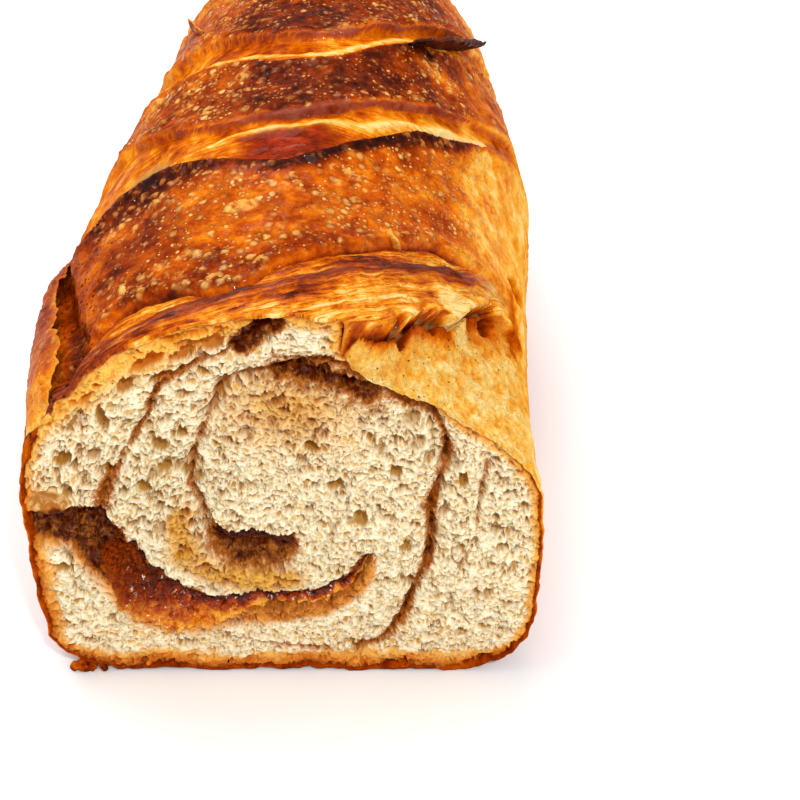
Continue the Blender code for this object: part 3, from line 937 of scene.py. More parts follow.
def opening_tones(tone, form, mottled, patchy):
    """How dark the openings are: deep red behind the lip, then a pale ribbon, then mauve."""
    s, ribbon = form.s, form.ribbon
    open_2, open_3 = form.open_2 * form.top, form.open_3 * form.top
    red_part = smoothstep(form.pale, 0.4, -1.4) * smoothstep(9.0 - np.abs(s + 4.0), -4.0, 4.0)
    form.ruby = open_2 * red_part
    left_pale = bell(form.lip - 3.0 - 1.5 * ribbon, 1.9) * smoothstep(-s, 28.0, 36.0)
    back_pale = bell(form.pale3, 1.3 + 0.8 * ribbon) * smoothstep(36.0 - s, 0.0, 10.0)
    wide = table(s, TORN_WIDTHS) * (1.0 + 0.9 * ribbon + 0.4 * patchy)
    faces = [smoothstep(1.5 - np.abs(away + 0.2) / np.maximum(share * wide, 0.05), 0.0, 0.7)
             for away, share in ((form.face, 1.0), (form.face3, 0.5))]
    form.torn_face = np.maximum(*faces) * form.top * form.closed * (wide > 0.1)
    return painted(
        tone,
        (0.48 + 0.28 * mottled, np.maximum(open_2, open_3)),
        (0.72 + 0.16 * patchy, form.ruby),
        (0.05, open_2 * bell(form.pale, table(s, RIBBON_WIDTHS))),
        (0.08, open_2 * left_pale),
        (0.10, open_3 * back_pale),
        (0.68 + 0.14 * patchy, form.torn_face))


def band_tones(tone, form):
    """How dark the band beside the cut is: golden strands between darker streaked ridges."""
    form.band = form.front * form.top
    tone = painted(
        tone,
        (0.38, form.band),
        (0.80, form.band * bell(form.ridge - 0.6, 2.7) * (0.9 + 0.9 * form.streak)),
        (0.20, form.band * smoothstep(-form.rim, 0.0, 2.0)))
    tone = tone + 0.46 * form.band * (form.streak + 0.6 * form.short_streak)
    seam = bell(form.thin + 0.3, 0.5) * (0.5 + 0.8 * form.ribbon) * (1.0 - form.right)
    return painted(
        tone,
        (0.86, form.top * seam),
        (0.16, form.top * form.right * form.front),
        (0.80, bell(np.hypot((form.s + 24.0) / 2.0, form.y - 13.0), 2.4)))


def side_tones(tone, form, mottled, cloudy):
    """How dark the crust behind the flake, the tin sides, the base and the baked end are, with painted
    shade in the hollow beside the flake.
    """
    s, y = form.s, form.y
    form.amber = smoothstep(-s, 34.0, 46.0) * smoothstep(60.0 - y, 0.0, 20.0) \
        * smoothstep(s, -70.0, -62.0)
    return painted(
        tone,
        (0.60 + 0.25 * mottled, form.amber * 0.9),
        # Painted shade in the hollow beside the flake.
        (0.78, form.hollow),
        (0.18, form.pocket * 1.2),
        (0.46 + 0.16 * cloudy + 0.12 * mottled, form.side),
        (0.72, form.corner),
        (0.50, smoothstep(y, 168.0, 186.0)))


def tear_tones(tone, form, patchy):
    """How dark the torn step is: pale, with a browned edge, creamy folds, painted shade in its hollows
    and trench, and painted light on its steep wall by the cut.
    """
    s, y = form.s, form.y
    form.folds = smoothstep(1.3 - oval(form, (39.0, 23.5), (7.0, 5.0)) + 0.4 * patchy, 0.0, 0.5)
    flank = smoothstep(1.6 - oval(form, (61.5, 42.0), (3.0, 8.0)) + 0.5 * patchy)
    return painted(
        tone,
        (0.22 - 0.14 * form.squiggle + 0.12 * patchy, form.torn),
        (0.62, form.tear_edge),
        # Painted light: the steep wall where the step starts by the cut is lightened, so the shaded
        # slit beside the crumb does not read dark.
        (0.14, form.torn * bell(s - 9.8, 2.4) * (y < 4.0)),
        (0.62, 0.8 * flank),
        # Painted shade: the caves and the trench are darkened.
        (0.84, form.cave * (1.0 - form.folds)),
        (0.05, form.folds))


def crust_tint(form):
    """Colouring numbers of the crust: how dark, red, glossy, blistered and torn it is."""
    s, y, top, torn = form.s, form.y, form.top, form.torn
    mottled = fbm(form.points, 7.0, 301, 4, 0.6)
    cloudy = fbm(form.points, 22.0, 305, 2)
    patchy = fbm(form.points, 4.0, 309, 3, 0.6)
    form.right = smoothstep(s, 34.0, 50.0)
    tone = painted(
        0.46 + 0.10 * cloudy,
        (0.16 + 0.12 * mottled, form.right * (1.0 - smoothstep(s, 74.0, 92.0))),
        (0.34 + 0.16 * mottled, smoothstep(-s, 44.0, 56.0) * smoothstep(y, 50.0, 70.0)))
    tone = panel_tones(tone, form, mottled, patchy)
    tone = opening_tones(tone, form, mottled, patchy)
    tone = band_tones(tone, form)
    tone = side_tones(tone, form, mottled, cloudy)
    tone = tear_tones(tone, form, patchy)
    tone = tone + 0.14 * mottled * (1.0 - 0.5 * torn)
    gloss = np.clip(top * (0.75 + 0.4 * cloudy) - 0.5 * torn - 0.3 * form.torn_face, 0.05, 1.0)
    strands = (form.front + 0.6 * np.maximum(form.open_2, form.open_3)) * top * (1.0 - torn)
    hollows = 0.7 * form.cave * smoothstep(patchy, -0.4, 0.3) * (1.0 - form.folds)
    return {"tone": tone,
            "red": np.maximum(form.torn_face, 0.60 * form.band * bell(form.ridge - 0.6, 2.0)),
            "gloss": np.maximum(gloss, form.ruby), "ruby": form.ruby, "blister": form.blister,
            "dusty": np.maximum(form.amber, 0.25 * torn) + 0.15 * form.band + 0.05,
            # The torn layer's mask here is where the material paints pale highlight lines.
            "pocket": np.maximum(form.pocket, hollows), "torn_glint_mask": torn, "along": s,
            "over": mix(form.v, form.ridge + 300.0, form.front > 0.5),
            "fibrous": strands * (1.0 - bell(form.face, 2.2)) * (1.0 - bell(form.face3, 2.2)),
            "skin": form.skin * (1.0 - 0.8 * form.right) * (1.0 - 0.9 * form.amber)}


def crust_point(s, y):
    """Finished crust points with their colouring numbers."""
    form, height, lean = crust_form(s, y)
    made = form.points + base_normal(s, y) * height[:, None]
    made[:, 1] += lean
    made[:, 2] = np.maximum(made[:, 2], 0.0)
    return made, crust_tint(form)


def rim_outline():
    """The crust's outline on the cut plane, as (across, up)."""
    s = COLUMNS[::2]
    made, _ = crust_point(s, np.full_like(s, FIRST_RING))
    return made[:, (0, 2)]


def ring_faces(rows, columns):
    """Quads of a tube made of rings."""
    i, j = np.meshgrid(np.arange(rows - 1), np.arange(columns), indexing="ij")
    a = i * columns + j
    b = i * columns + (j + 1) % columns
    return np.stack((a, b, b + columns, a + columns), axis=-1).reshape(-1, 4)


def make_crust(material):
    """The baked outside, as three tubes that meet edge to edge."""
    front_rows = FIRST_RING + np.concatenate((np.arange(0.0, 2.7, 0.18),
                                              np.arange(2.7, 74.0, 0.45)))
    middle_rows = np.arange(front_rows[-1], 149.0, 0.6)
    turn = np.linspace(0.0, 1.0, 78)
    back_rows = LENGTH - (LENGTH - middle_rows[-1]) * (1.0 - turn) ** 1.6
    for name, rows in (("crust_front", front_rows), ("crust_middle", middle_rows),
                       ("crust_back", back_rows)):
        s = np.tile(COLUMNS, len(rows))
        y = np.repeat(rows, len(COLUMNS))
        points, tint = crust_point(s, y)
        if name == "crust_front":
            points, tint = with_rim(points, tint)
        if name == "crust_back":
            points, tint = with_end(points, tint)
        rings = len(points) // len(COLUMNS)
        make_piece(name, points, ring_faces(rings, len(COLUMNS)), material, ("dough",), tint)


def with_rim(points, tint):
    """Add the rounded, ragged cut edge in front of the first ring."""
    count = len(COLUMNS)
    first = points[:count]
    inward = -base_normal(COLUMNS, np.zeros(count))
    ragged = 1.0 + 0.75 * fbm(first, 2.6, 401, 3)
    rows = []
    for inset, depth in CUT_EDGE:
        row = first + inward * (inset * ragged)[:, None]
        row[:, 1] = depth + 0.25 * fbm(first, 2.2, 405, 2)
        row[:, 2] = np.maximum(row[:, 2], 0.0)
        rows.append(row)
    made = {key: np.concatenate([value[:count]] * len(rows) + [value]) for key, value in tint.items()}
    baked = np.where(np.abs(COLUMNS) < 60.0, made["tone"][:count] - 0.10, 0.66)
    made["tone"][:4 * count] = np.tile(baked + 0.12 * fbm(first, 2.0, 409, 3), 4)
    return np.vstack(rows + [points]), made


def with_end(points, tint):
    """Close the baked end behind the last ring."""
    count = len(COLUMNS)
    last = points[-count:]
    middle = last.mean(axis=0)
    rows = []
    for part in np.linspace(0.85, 0.0, 12):
        row = middle + (last - middle) * part
        row[:, 1] = last[:, 1].mean() + (last[:, 1] - last[:, 1].mean()) * part
        rows.append(row)
    made = {key: np.concatenate([value] + [value[-count:]] * len(rows)) for key, value in tint.items()}
    return np.vstack([points] + rows), made


# ---------------------------------------------------------------- leaves and crumbs of crust

# Thin leaves that stand off the crust. Each has three routes from its front to its back, as
# (across, behind, up): where it grows from, its middle and its free edge; then its thickness,
# how ragged its edge is, its tones from front to back, and how mauve it is.
LEAVES = {
    "flake": (((-50.4, 0.4, 69.6), (-52.0, 10.0, 66.5), (-52.7, 20.0, 66.8), (-52.9, 30.0, 67.0),
               (-52.6, 40.0, 67.3), (-51.8, 52.0, 68.0), (-50.0, 63.0, 69.5)),
              ((-48.4, -0.5, 73.2), (-50.0, 7.0, 75.8), (-51.2, 19.0, 76.4), (-52.6, 29.0, 74.8),
               (-52.4, 39.0, 75.6), (-51.8, 48.0, 74.4), (-50.0, 63.0, 70.3)),
              ((-43.2, -0.4, 75.6), (-44.8, 2.0, 80.6), (-45.0, 12.0, 82.8), (-45.4, 20.0, 82.4),
               (-47.4, 28.0, 81.0), (-49.6, 41.0, 78.2), (-49.4, 63.0, 71.0)),
              0.8, 0.8, (0.20, 0.58, 0.62), 0.45),
    "ear": (((25.4, 104.0, 101.6), (28.8, 112.0, 97.6), (33.2, 122.0, 91.6), (38.2, 134.0, 85.0),
             (44.8, 142.0, 81.6)),
            ((25.7, 104.0, 102.0), (29.4, 111.0, 99.0), (34.2, 119.6, 94.4), (39.6, 131.0, 88.0),
             (45.3, 142.0, 82.2)),
            ((26.1, 104.0, 102.2), (30.4, 109.5, 100.2), (35.4, 117.0, 96.4), (41.0, 128.5, 90.4),
             (46.0, 141.6, 83.0)),
            1.6, 0.35, (0.92, 0.99, 1.0), 0.3),
    "spike": (((-26.0, 134.0, 88.6), (-28.4, 139.0, 86.6), (-30.2, 145.0, 83.8)),
              ((-26.4, 134.0, 89.2), (-29.6, 139.5, 88.4), (-30.6, 145.0, 84.4)),
              ((-26.8, 134.0, 89.8), (-31.0, 140.0, 90.4), (-31.0, 145.0, 85.0)),
              1.0, 0.6, (0.40, 0.62, 0.80), 0.2),
    "curl": (((23.6, 31.2, 93.6), (22.6, 31.4, 94.0), (21.4, 31.5, 94.2)),
             ((23.4, 30.8, 95.8), (22.2, 31.0, 96.4), (20.8, 31.3, 95.8)),
             ((22.4, 31.5, 97.4), (21.6, 31.8, 98.4), (20.8, 32.2, 97.6)),
             0.5, 0.5, (0.10, 0.14, 0.20), 0.0),
}
LEAF_ROWS = 160
LEAF_COLUMNS = 18

# Loose bits baked on along the foot of the cut: across, behind, how many; then the rings of
# one bit and the points round each.
CRUMB_HEAPS = ((-46.5, 0.8, 30), (-36.0, 1.2, 6), (-14.0, 1.4, 4), (34.0, 1.2, 5))
CRUMB_GRID = (9, 12)


def evenly(route, count):
    """Points at even lengths along a smooth curve."""
    line = curve(route, 12)
    lengths = running_length(line)
    want = np.linspace(0.0, lengths[-1], count)
    return np.column_stack([np.interp(want, lengths, line[:, k]) for k in range(3)])


def leaf_points(root, middle, free, thick, ragged):
    """Rings round a thin curved sheet, and where each point is along and across it."""
    low, half, high = (evenly(route, LEAF_ROWS)[:, None, :] for route in (root, middle, free))
    torn = 1.0 + ragged * (0.24 * fbm(high[:, 0], 6.0, 501, 2) + 0.08 * fbm(high[:, 0], 1.8, 503, 3))
    t = np.linspace(0.0, 1.0, LEAF_COLUMNS)[None, :] * torn[:, None]
    t = t[..., None]
    sheet = low * (1.0 - t) * (1.0 - 2.0 * t) + half * 4.0 * t * (1.0 - t) + high * t * (2.0 * t - 1.0)
    normal = np.cross(np.gradient(sheet, axis=0), np.gradient(sheet, axis=1))
    normal /= np.maximum(np.linalg.norm(normal, axis=2, keepdims=True), 1.0e-9)
    flat = sheet.reshape(-1, 3)
    wrinkled = 0.55 * fbm(flat, 4.0, 505, 3) + 0.25 * (1.0 - 2.0 * np.abs(fbm(flat, 2.0, 507, 2)))
    sheet = sheet + normal * wrinkled.reshape(sheet.shape[:2])[..., None] * np.minimum(2.0 * t, 1.0)
    ends = np.sin(math.pi * np.linspace(0.02, 0.98, LEAF_ROWS)) ** 0.4
    thinned = np.sqrt(np.clip(1.05 - (t / torn[:, None, None]) ** 3, 0.0, 1.0))
    plump = 0.5 * thick * ends[:, None, None] * thinned
    outer, inner = sheet + normal * plump, sheet - normal * plump
    rings = np.concatenate((outer, inner[:, ::-1]), axis=1)
    along = np.repeat(np.linspace(0.0, 1.0, LEAF_ROWS), 2 * LEAF_COLUMNS)
    across = np.tile(np.concatenate((t[0, :, 0], t[0, ::-1, 0])) / torn[0], LEAF_ROWS)
    return rings.reshape(-1, 3), along, across


def join_tubes(tubes, rows, columns):
    """Tubes of the same make as one mesh: its points and faces."""
    quads = ring_faces(rows, columns)
    faces = [quads + number * rows * columns for number in range(len(tubes))]
    return np.vstack(tubes), np.vstack(faces)


def plain_tint(count, **given):
    """Colouring numbers for points that are not on the crust's own surface."""
    keys = ("tone", "red", "gloss", "blister", "dusty", "pocket", "ruby", "along", "over", "fibrous",
            "skin", "torn_glint_mask")
    return {key: np.broadcast_to(given.get(key, 0.0), count).astype(float) for key in keys}


def make_leaves(material):
    """The flake, ear, spike and curl that stand off the crust, in one mesh."""
    tubes, tints = [], []
    for root, middle, free, thick, ragged, tones, red in LEAVES.values():
        points, along, across = leaf_points(root, middle, free, thick, ragged)
        tone = np.interp(along, (0.0, 0.3, 1.0), tones) + 0.22 * fbm(points, 3.0, 511, 3)
        tone = paint(tone, 0.12, 0.7 * smoothstep(across, 0.90, 1.0) * (tones[1] < 0.8))
        mauve = red * smoothstep(along, 0.05, 0.3)
        tints.append(plain_tint(len(points), tone=tone, red=mauve, gloss=0.9, dusty=0.2,
                                along=along * 50.0, over=across * 12.0, fibrous=0.25, skin=0.3))
        tubes.append(points)
    joined = {key: np.concatenate([tint[key] for tint in tints]) for key in tints[0]}
    points, faces = join_tubes(tubes, LEAF_ROWS, 2 * LEAF_COLUMNS)
    make_piece("crust_leaves", points, faces, material, (), joined)


def make_crumbs(material):
    """Browned crumbs baked on along the foot of the cut."""
    rings, around = CRUMB_GRID
    polar, turn = np.meshgrid(np.linspace(0.04, math.pi - 0.04, rings),
                              np.linspace(0.0, TAU, around, endpoint=False), indexing="ij")
    ball = np.column_stack((np.cos(polar).ravel(), (np.sin(polar) * np.cos(turn)).ravel(),
                            (np.sin(polar) * np.sin(turn)).ravel()))
    chance = np.random.default_rng(7)
    tubes = []
    for across, behind, count in CRUMB_HEAPS:
        for _ in range(count):
            size = chance.uniform(0.35, 1.15) * (1.0 if count > 20 else 0.6)
            middle = np.array((across + chance.normal(0.0, 2.6), behind + chance.uniform(-0.6, 0.6),
                               0.3 + chance.uniform(0.0, 1.8)))
            lumps = 1.0 + 0.45 * fbm(ball * 1.1 + 9.0 * len(tubes), 1.0, 521, 3)
            points = middle + ball * (size * lumps)[:, None]
            points[:, 2] = np.maximum(points[:, 2], 0.0)
            points[:, 1] = np.maximum(points[:, 1], -0.8)
            tubes.append(points)
    points, faces = join_tubes(tubes, rings, around)
    tone = 0.62 + 0.5 * fbm(points, 1.6, 523, 2)
    make_piece("baked_crumbs", points, faces, material, (),
               plain_tint(len(points), tone=tone, gloss=0.5, dusty=0.2))


# ---------------------------------------------------------------- materials

def srgb(red, green, blue):
    """A colour given in display values from 0 to 255."""
    values = np.array((red, green, blue)) / 255.0
    linear = np.where(values <= 0.04045, values / 12.92, ((values + 0.055) / 1.055) ** 2.4)
    return (*linear.tolist(), 1.0)


class Nodes:
    """A material and the nodes that feed its one shader."""

    def __init__(self, name):
        self.material = bpy.data.materials.new(name)
        self.material.use_nodes = True
        self.tree = self.material.node_tree
        self.shader = self.tree.nodes["Principled BSDF"]
        scale = self.new("ShaderNodeVectorMath", operation="SCALE")
        scale.inputs["Scale"].default_value = 1.0 / MM
        self.feed(scale.inputs[0], self.new("ShaderNodeTexCoord").outputs["Object"])
        self.place = scale.outputs[0]

    def new(self, kind, **settings):
        """Add a node with these settings."""
        node = self.tree.nodes.new(kind)
        for key, value in settings.items():
            setattr(node, key, value)
        return node

    def feed(self, socket, value):
        """Link another node's output to a socket, or set the socket's own value."""
        if isinstance(value, bpy.types.NodeSocket):
            self.tree.links.new(value, socket)
        else:
            socket.default_value = value

    def field(self, name):
        """One of the mesh's named numbers."""
        return self.new("ShaderNodeAttribute", attribute_name=name).outputs["Fac"]

    def maths(self, operation, *values, clamp=False):
        """A sum on one, two or three values."""
        node = self.new("ShaderNodeMath", operation=operation, use_clamp=clamp)
        for socket, value in zip(node.inputs, values):
            self.feed(socket, value)
        return node.outputs[0]

    def ease(self, value, low, high, start=0.0, end=1.0):
        """Ease a value from start to end as it goes from low to high."""
        node = self.new("ShaderNodeMapRange", interpolation_type="SMOOTHSTEP")
        for key, number in (("Value", value), ("From Min", low), ("From Max", high),
                            ("To Min", start), ("To Max", end)):
            self.feed(node.inputs[key], number)
        return node.outputs["Result"]

    def times(self, first, second):
        """The product of two values."""
        return self.maths("MULTIPLY", first, second)

    def plus(self, value, share, base, clamp=False):
        """A base value with a share of another added."""
        return self.maths("MULTIPLY_ADD", value, share, base, clamp=clamp)

    def noise(self, size, detail=3.0, rough=0.5, warp=0.0):
        """Cloudy noise whose features are about the given millimetres."""
        return self.noise_at(self.place, 1.0 / size, detail, rough, warp)

    def noise_at(self, where, scale, detail, rough, warp):
        """Cloudy noise at other places than the surface's own."""
        node = self.new("ShaderNodeTexNoise")
        for key, value in (("Vector", where), ("Scale", scale), ("Detail", detail),
                           ("Roughness", rough), ("Distortion", warp)):
            self.feed(node.inputs[key], value)
        return node.outputs["Fac"]

    def cloud(self, *settings):
        """Cloudy noise about zero."""
        return self.maths("SUBTRACT", self.noise(*settings), 0.5)

    def spots(self, size):
        """Scattered cells of the given millimetres: distance, and a random number for each."""
        node = self.new("ShaderNodeTexVoronoi")
        self.feed(node.inputs["Vector"], self.place)
        self.feed(node.inputs["Scale"], 1.0 / size)
        apart = self.new("ShaderNodeSeparateColor")
        self.feed(apart.inputs[0], node.outputs["Color"])
        return node.outputs["Distance"], apart.outputs[0]

    def fibres(self, long, wide):
        """Noise drawn out along the loaf's scores."""
        joined = self.new("ShaderNodeCombineXYZ")
        self.feed(joined.inputs[0], self.times(self.field("along"), 1.0 / long))
        self.feed(joined.inputs[1], self.times(self.field("over"), 1.0 / wide))
        return self.noise_at(joined.outputs[0], 1.0, 3.0, 0.6, 0.4)

    def dots(self, size, radius, share):
        """Round dots: 1 inside, on a share of the scattered cells."""
        distance, number = self.spots(size)
        inside = self.ease(distance, radius, radius * 0.55)
        return self.times(inside, self.maths("LESS_THAN", number, share))

    def ramp(self, value, stops):
        """A colour from a value by stops of (value, colour)."""
        node = self.new("ShaderNodeValToRGB")
        elements = node.color_ramp.elements
        while len(elements) < len(stops):
            elements.new(1.0)
        for element, (position, colour) in zip(elements, stops):
            element.position = position
            element.color = srgb(*colour)
        self.feed(node.inputs[0], value)
        return node.outputs["Color"]

    def mix(self, amount, first, second):
        """Blend two colours."""
        node = self.new("ShaderNodeMix", data_type="RGBA", clamp_factor=True)
        self.feed(node.inputs["Factor"], amount)
        colours = [socket for socket in node.inputs if socket.type == "RGBA"]
        self.feed(colours[0], first)
        self.feed(colours[1], second)
        return [socket for socket in node.outputs if socket.type == "RGBA"][0]

    def bump(self, height, strength, millimetres):
        """Tilt the surface by a height field."""
        node = self.new("ShaderNodeBump")
        self.feed(node.inputs["Height"], height)
        self.feed(node.inputs["Strength"], strength)
        self.feed(node.inputs["Distance"], millimetres * MM)
        return node.outputs["Normal"]

    def finish(self, **sockets):
        """Set the shader's sockets by name, with spaces written as underscores."""
        for key, value in sockets.items():
            self.feed(self.shader.inputs[key.replace("_", " ")], value)
        return self.material


CRUST_STOPS = ((0.00, (255, 218, 140)), (0.12, (252, 192, 84)), (0.25, (244, 156, 32)),
               (0.38, (226, 118, 4)), (0.52, (196, 84, 0)), (0.66, (154, 54, 0)),
               (0.80, (104, 31, 1)), (0.92, (66, 18, 3)), (1.00, (40, 11, 5)))


# Blisters in the skin's colour: size, radius in cells, share of cells.
SKIN_SPOTS = ((0.95, 0.34, 0.32), (1.6, 0.38, 0.40), (2.9, 0.40, 0.38))


def crust_browning(n):
    """Mottled brown with strands along the scores, deep red openings and mauve torn faces."""
    fibrous = n.field("fibrous")
    cloud, grain = n.cloud(3.0, 5.0, 0.65), n.cloud(0.9, 2.0, 0.5)
    narrow = n.fibres(3.0, 0.30)
    strand = n.maths("SUBTRACT", n.plus(narrow, 0.6, n.fibres(7.0, 0.75)), 0.8)
    strand = n.times(strand, fibrous)
    tone = n.plus(strand, 0.95, n.plus(cloud, 0.62, n.field("tone")))
    tone = n.plus(grain, 0.22, tone, clamp=True)
    colour = n.ramp(tone, CRUST_STOPS)
    ruby = n.mix(n.ease(cloud, -0.15, 0.15), srgb(88, 9, 0), srgb(182, 48, 0))
    mauve = n.mix(n.ease(cloud, -0.12, 0.12), srgb(122, 44, 30), srgb(178, 96, 74))
    dark_line = n.times(n.ease(narrow, 0.58, 0.70), fibrous)
    colour = n.mix(n.times(n.field("ruby"), 0.85), colour, ruby)
    colour = n.mix(n.times(n.field("red"), 0.6), colour, mauve)
    colour = n.mix(n.times(dark_line, 0.7), colour, srgb(116, 36, 2))
    return colour, tone, strand, grain


def skin_spots(n, colour, tone, skin):
    """Blisters of three sizes: a pale dome inside a darker ring, less pale where the skin is
    dark; the raised blisters; and small glints."""
    patches = n.times(n.ease(n.noise(10.0, 3.0), 0.34, 0.52), skin)
    patches = n.times(patches, n.ease(tone, 0.98, 0.80))
    blister = n.mix(n.ease(tone, 0.66, 0.92), srgb(255, 196, 96), srgb(226, 120, 44))
    domes = 0.0
    for size, radius, share in SKIN_SPOTS:
        distance, number = n.spots(size)
        chosen = n.times(n.maths("LESS_THAN", number, share), patches)
        dome = n.times(n.ease(distance, radius, radius * 0.4), chosen)
        ring = n.times(n.ease(distance, radius * 1.5, radius), chosen)
        domes = n.maths("MAXIMUM", domes, n.times(dome, min(1.0, 0.45 * size)))
        pale = n.times(dome, n.ease(number, 0.0, share, 0.95, 0.35))
        colour = n.mix(n.times(ring, 0.35), colour, srgb(120, 36, 0))
        colour = n.mix(pale, colour, blister)
    lifted = n.times(n.field("blister"), n.ease(n.noise(1.6, 3.0), 0.34, 0.60))
    colour = n.mix(n.times(lifted, 0.6), colour, blister)
    glint = n.times(n.dots(1.15, 0.17, 0.24), n.ease(n.noise(7.0, 3.0), 0.40, 0.52))
    colour = n.mix(n.times(n.times(glint, skin), 0.85), colour, srgb(255, 232, 190))
    return colour, domes


def skin_lines(n, colour, tone, skin):
    """Thin pale lines over the torn layer and on the creases' crests in the skin, all painted
    highlights, with their heights.
    """
    puckers = n.maths("ABSOLUTE", n.cloud(2.0, 5.0, 0.62, 1.2))
    worms = n.maths("ABSOLUTE", n.cloud(1.1, 2.0, 0.5, 1.0))
    # Painted highlight: squiggly pale lines over the torn layer.
    torn_glint_lines = n.times(n.field("torn_glint_mask"), n.ease(tone, 0.5, 0.3))
    torn_glint_lines = n.times(n.ease(worms, 0.05, 0.0), torn_glint_lines)
    # Painted highlight: pale lines along the crests of the skin's puckers.
    crease_highlight = n.times(n.ease(puckers, 0.03, 0.0), skin)
    crease_highlight = n.times(crease_highlight, n.ease(n.noise(5.0, 2.0), 0.46, 0.62))
    crease_highlight = n.times(crease_highlight, n.ease(tone, 0.70, 0.50))
    colour = n.mix(n.times(torn_glint_lines, 0.45), colour, srgb(255, 222, 140))
    colour = n.mix(n.times(crease_highlight, 0.30), colour, srgb(250, 166, 66))
    height = n.plus(puckers, -2.6, n.times(n.noise(0.7, 2.0, 0.5), 0.4))
    return colour, n.plus(torn_glint_lines, 0.7, n.plus(crease_highlight, 0.4, height))


def crust_specks(n, colour):
    """Dark specks, and the light hollows of pockets."""
    distance, number = n.spots(1.0)
    speck = n.maths("LESS_THAN", number, n.times(n.field("dusty"), 0.5))
    inside = n.maths("SUBTRACT", distance, n.plus(number, 0.55, 0.12))
    speck = n.times(speck, n.ease(inside, 0.06, -0.04))
    colour = n.mix(n.times(speck, 0.85), colour, srgb(52, 16, 4))
    light = n.mix(n.noise(1.5, 3.0), srgb(150, 88, 30), srgb(228, 172, 98))
    return n.mix(n.ease(n.field("pocket"), 0.3, 0.9), colour, light)


def crust_material():
    """Baked skin: mottled brown, glossy on top, with pale blisters, fibres and dark specks."""
    n = Nodes("baked_crust")
    gloss, skin = n.field("gloss"), n.field("skin")
    colour, tone, strand, grain = crust_browning(n)
    colour, domes = skin_spots(n, colour, tone, skin)
    colour, height = skin_lines(n, colour, tone, skin)
    colour = crust_specks(n, colour)
    height = n.plus(strand, 2.2, n.plus(domes, 1.1, height))
    shine = n.maths("MAXIMUM", domes, n.ease(strand, 0.03, 0.22, 0.0, 0.6))
    rough = n.plus(grain, 0.3, n.plus(gloss, -0.26, 0.56))
    return n.finish(Base_Color=colour, Roughness=rough, Normal=n.bump(height, 0.8, 0.4),
                    Specular_IOR_Level=0.0, Coat_Weight=n.times(gloss, n.plus(shine, 0.6, 0.17)),
                    Coat_Roughness=0.07)


def crumb_material():
    """Open crumb: cream, stained beside the filling, with painted shade that makes its hollows darker
    and warmer and painted highlights on its thin wall tops.
    """
    n = Nodes("open_crumb")
    deep, stain_and_shade, bake = n.field("deep"), n.field("stain_and_shade"), n.field("bake")
    patchy = n.cloud(4.0, 4.0, 0.6)
    grain = n.cloud(1.5, 3.0, 0.55)
    warmth = n.plus(patchy, 0.9, n.field("warmth"))
    warm = n.ease(warmth, 0.0, 1.0)
    light = n.mix(warm, srgb(236, 206, 144), srgb(236, 190, 106))
    hollow = n.mix(warm, srgb(200, 154, 80), srgb(188, 130, 46))
    # Painted shade: with depth behind the torn front the colour goes to the darker, warmer hollow
    # colour, and the butter, gold and amber colours below darken the same way.
    fine = n.plus(grain, 0.9, deep)
    colour = n.mix(n.ease(fine, -0.1, 1.25), light, hollow)
    # Painted highlight: the thin walls' tops are lightened, less so deeper down.
    wall_highlight = n.times(n.field("wall"), n.ease(fine, 2.4, 0.2, 0.3, 0.9))
    colour = n.mix(wall_highlight, colour, srgb(255, 244, 214))
    butter = n.mix(n.ease(fine, -0.6, 1.6), srgb(236, 176, 64), srgb(182, 102, 6))
    colour = n.mix(n.field("butter"), colour, butter)
    gold = n.mix(n.ease(fine, -0.6, 1.6), srgb(255, 204, 90), srgb(230, 136, 16))
    colour = n.mix(n.field("gold"), colour, gold)
    baked = n.plus(grain, 0.6, bake)
    colour = n.mix(n.ease(baked, -0.45, 0.20), colour, srgb(242, 176, 78))
    colour = n.mix(n.ease(baked, 0.15, 0.60), colour, srgb(216, 118, 26))
    colour = n.mix(n.ease(baked, 0.55, 0.95), colour, srgb(128, 48, 6))
    amber = n.mix(n.ease(fine, -0.5, 2.0), srgb(238, 156, 44), srgb(190, 88, 6))
    colour = n.mix(n.times(n.field("amber"), 0.95), colour, amber)
    blown = n.ease(n.noise(2.4, 3.0, 0.5, 1.0), 0.40, 0.62)
    blown = n.mix(blown, srgb(182, 116, 42), srgb(228, 188, 122))
    colour = n.mix(n.ease(n.field("pocket"), 0.4, 1.0), colour, blown)
    blotch = n.cloud(1.3, 5.0, 0.7)
    # The cinnamon colouring field also carries painted shade under the core's overhang.
    rough_stain_and_shade = n.plus(blotch, 1.5, stain_and_shade)
    rough_stain_and_shade = n.times(rough_stain_and_shade, n.ease(stain_and_shade, 0.05, 0.30))
    colour = n.mix(n.ease(rough_stain_and_shade, 0.10, 0.60), colour, srgb(186, 104, 26))
    colour = n.mix(n.ease(rough_stain_and_shade, 0.48, 1.0), colour, srgb(84, 22, 0))
    near_line = n.plus(n.ease(stain_and_shade, 0.01, 0.3), 0.55, 0.10)
    distance, number = n.spots(1.1)
    speck = n.times(n.ease(distance, 0.24, 0.12), n.maths("LESS_THAN", number, near_line))
    colour = n.mix(n.times(speck, 0.85), colour, srgb(84, 36, 12))
    normal = n.bump(n.noise(0.7, 2.0, 0.5, 0.8), 0.5, 0.2)
    return n.finish(Base_Color=colour, Roughness=0.30, Normal=normal, Specular_IOR_Level=0.18,
                    Specular_Tint=(1.0, 0.9, 0.7, 1.0), Subsurface_Weight=0.20,
                    Subsurface_Radius=(0.6, 0.5, 0.38), Subsurface_Scale=MM)


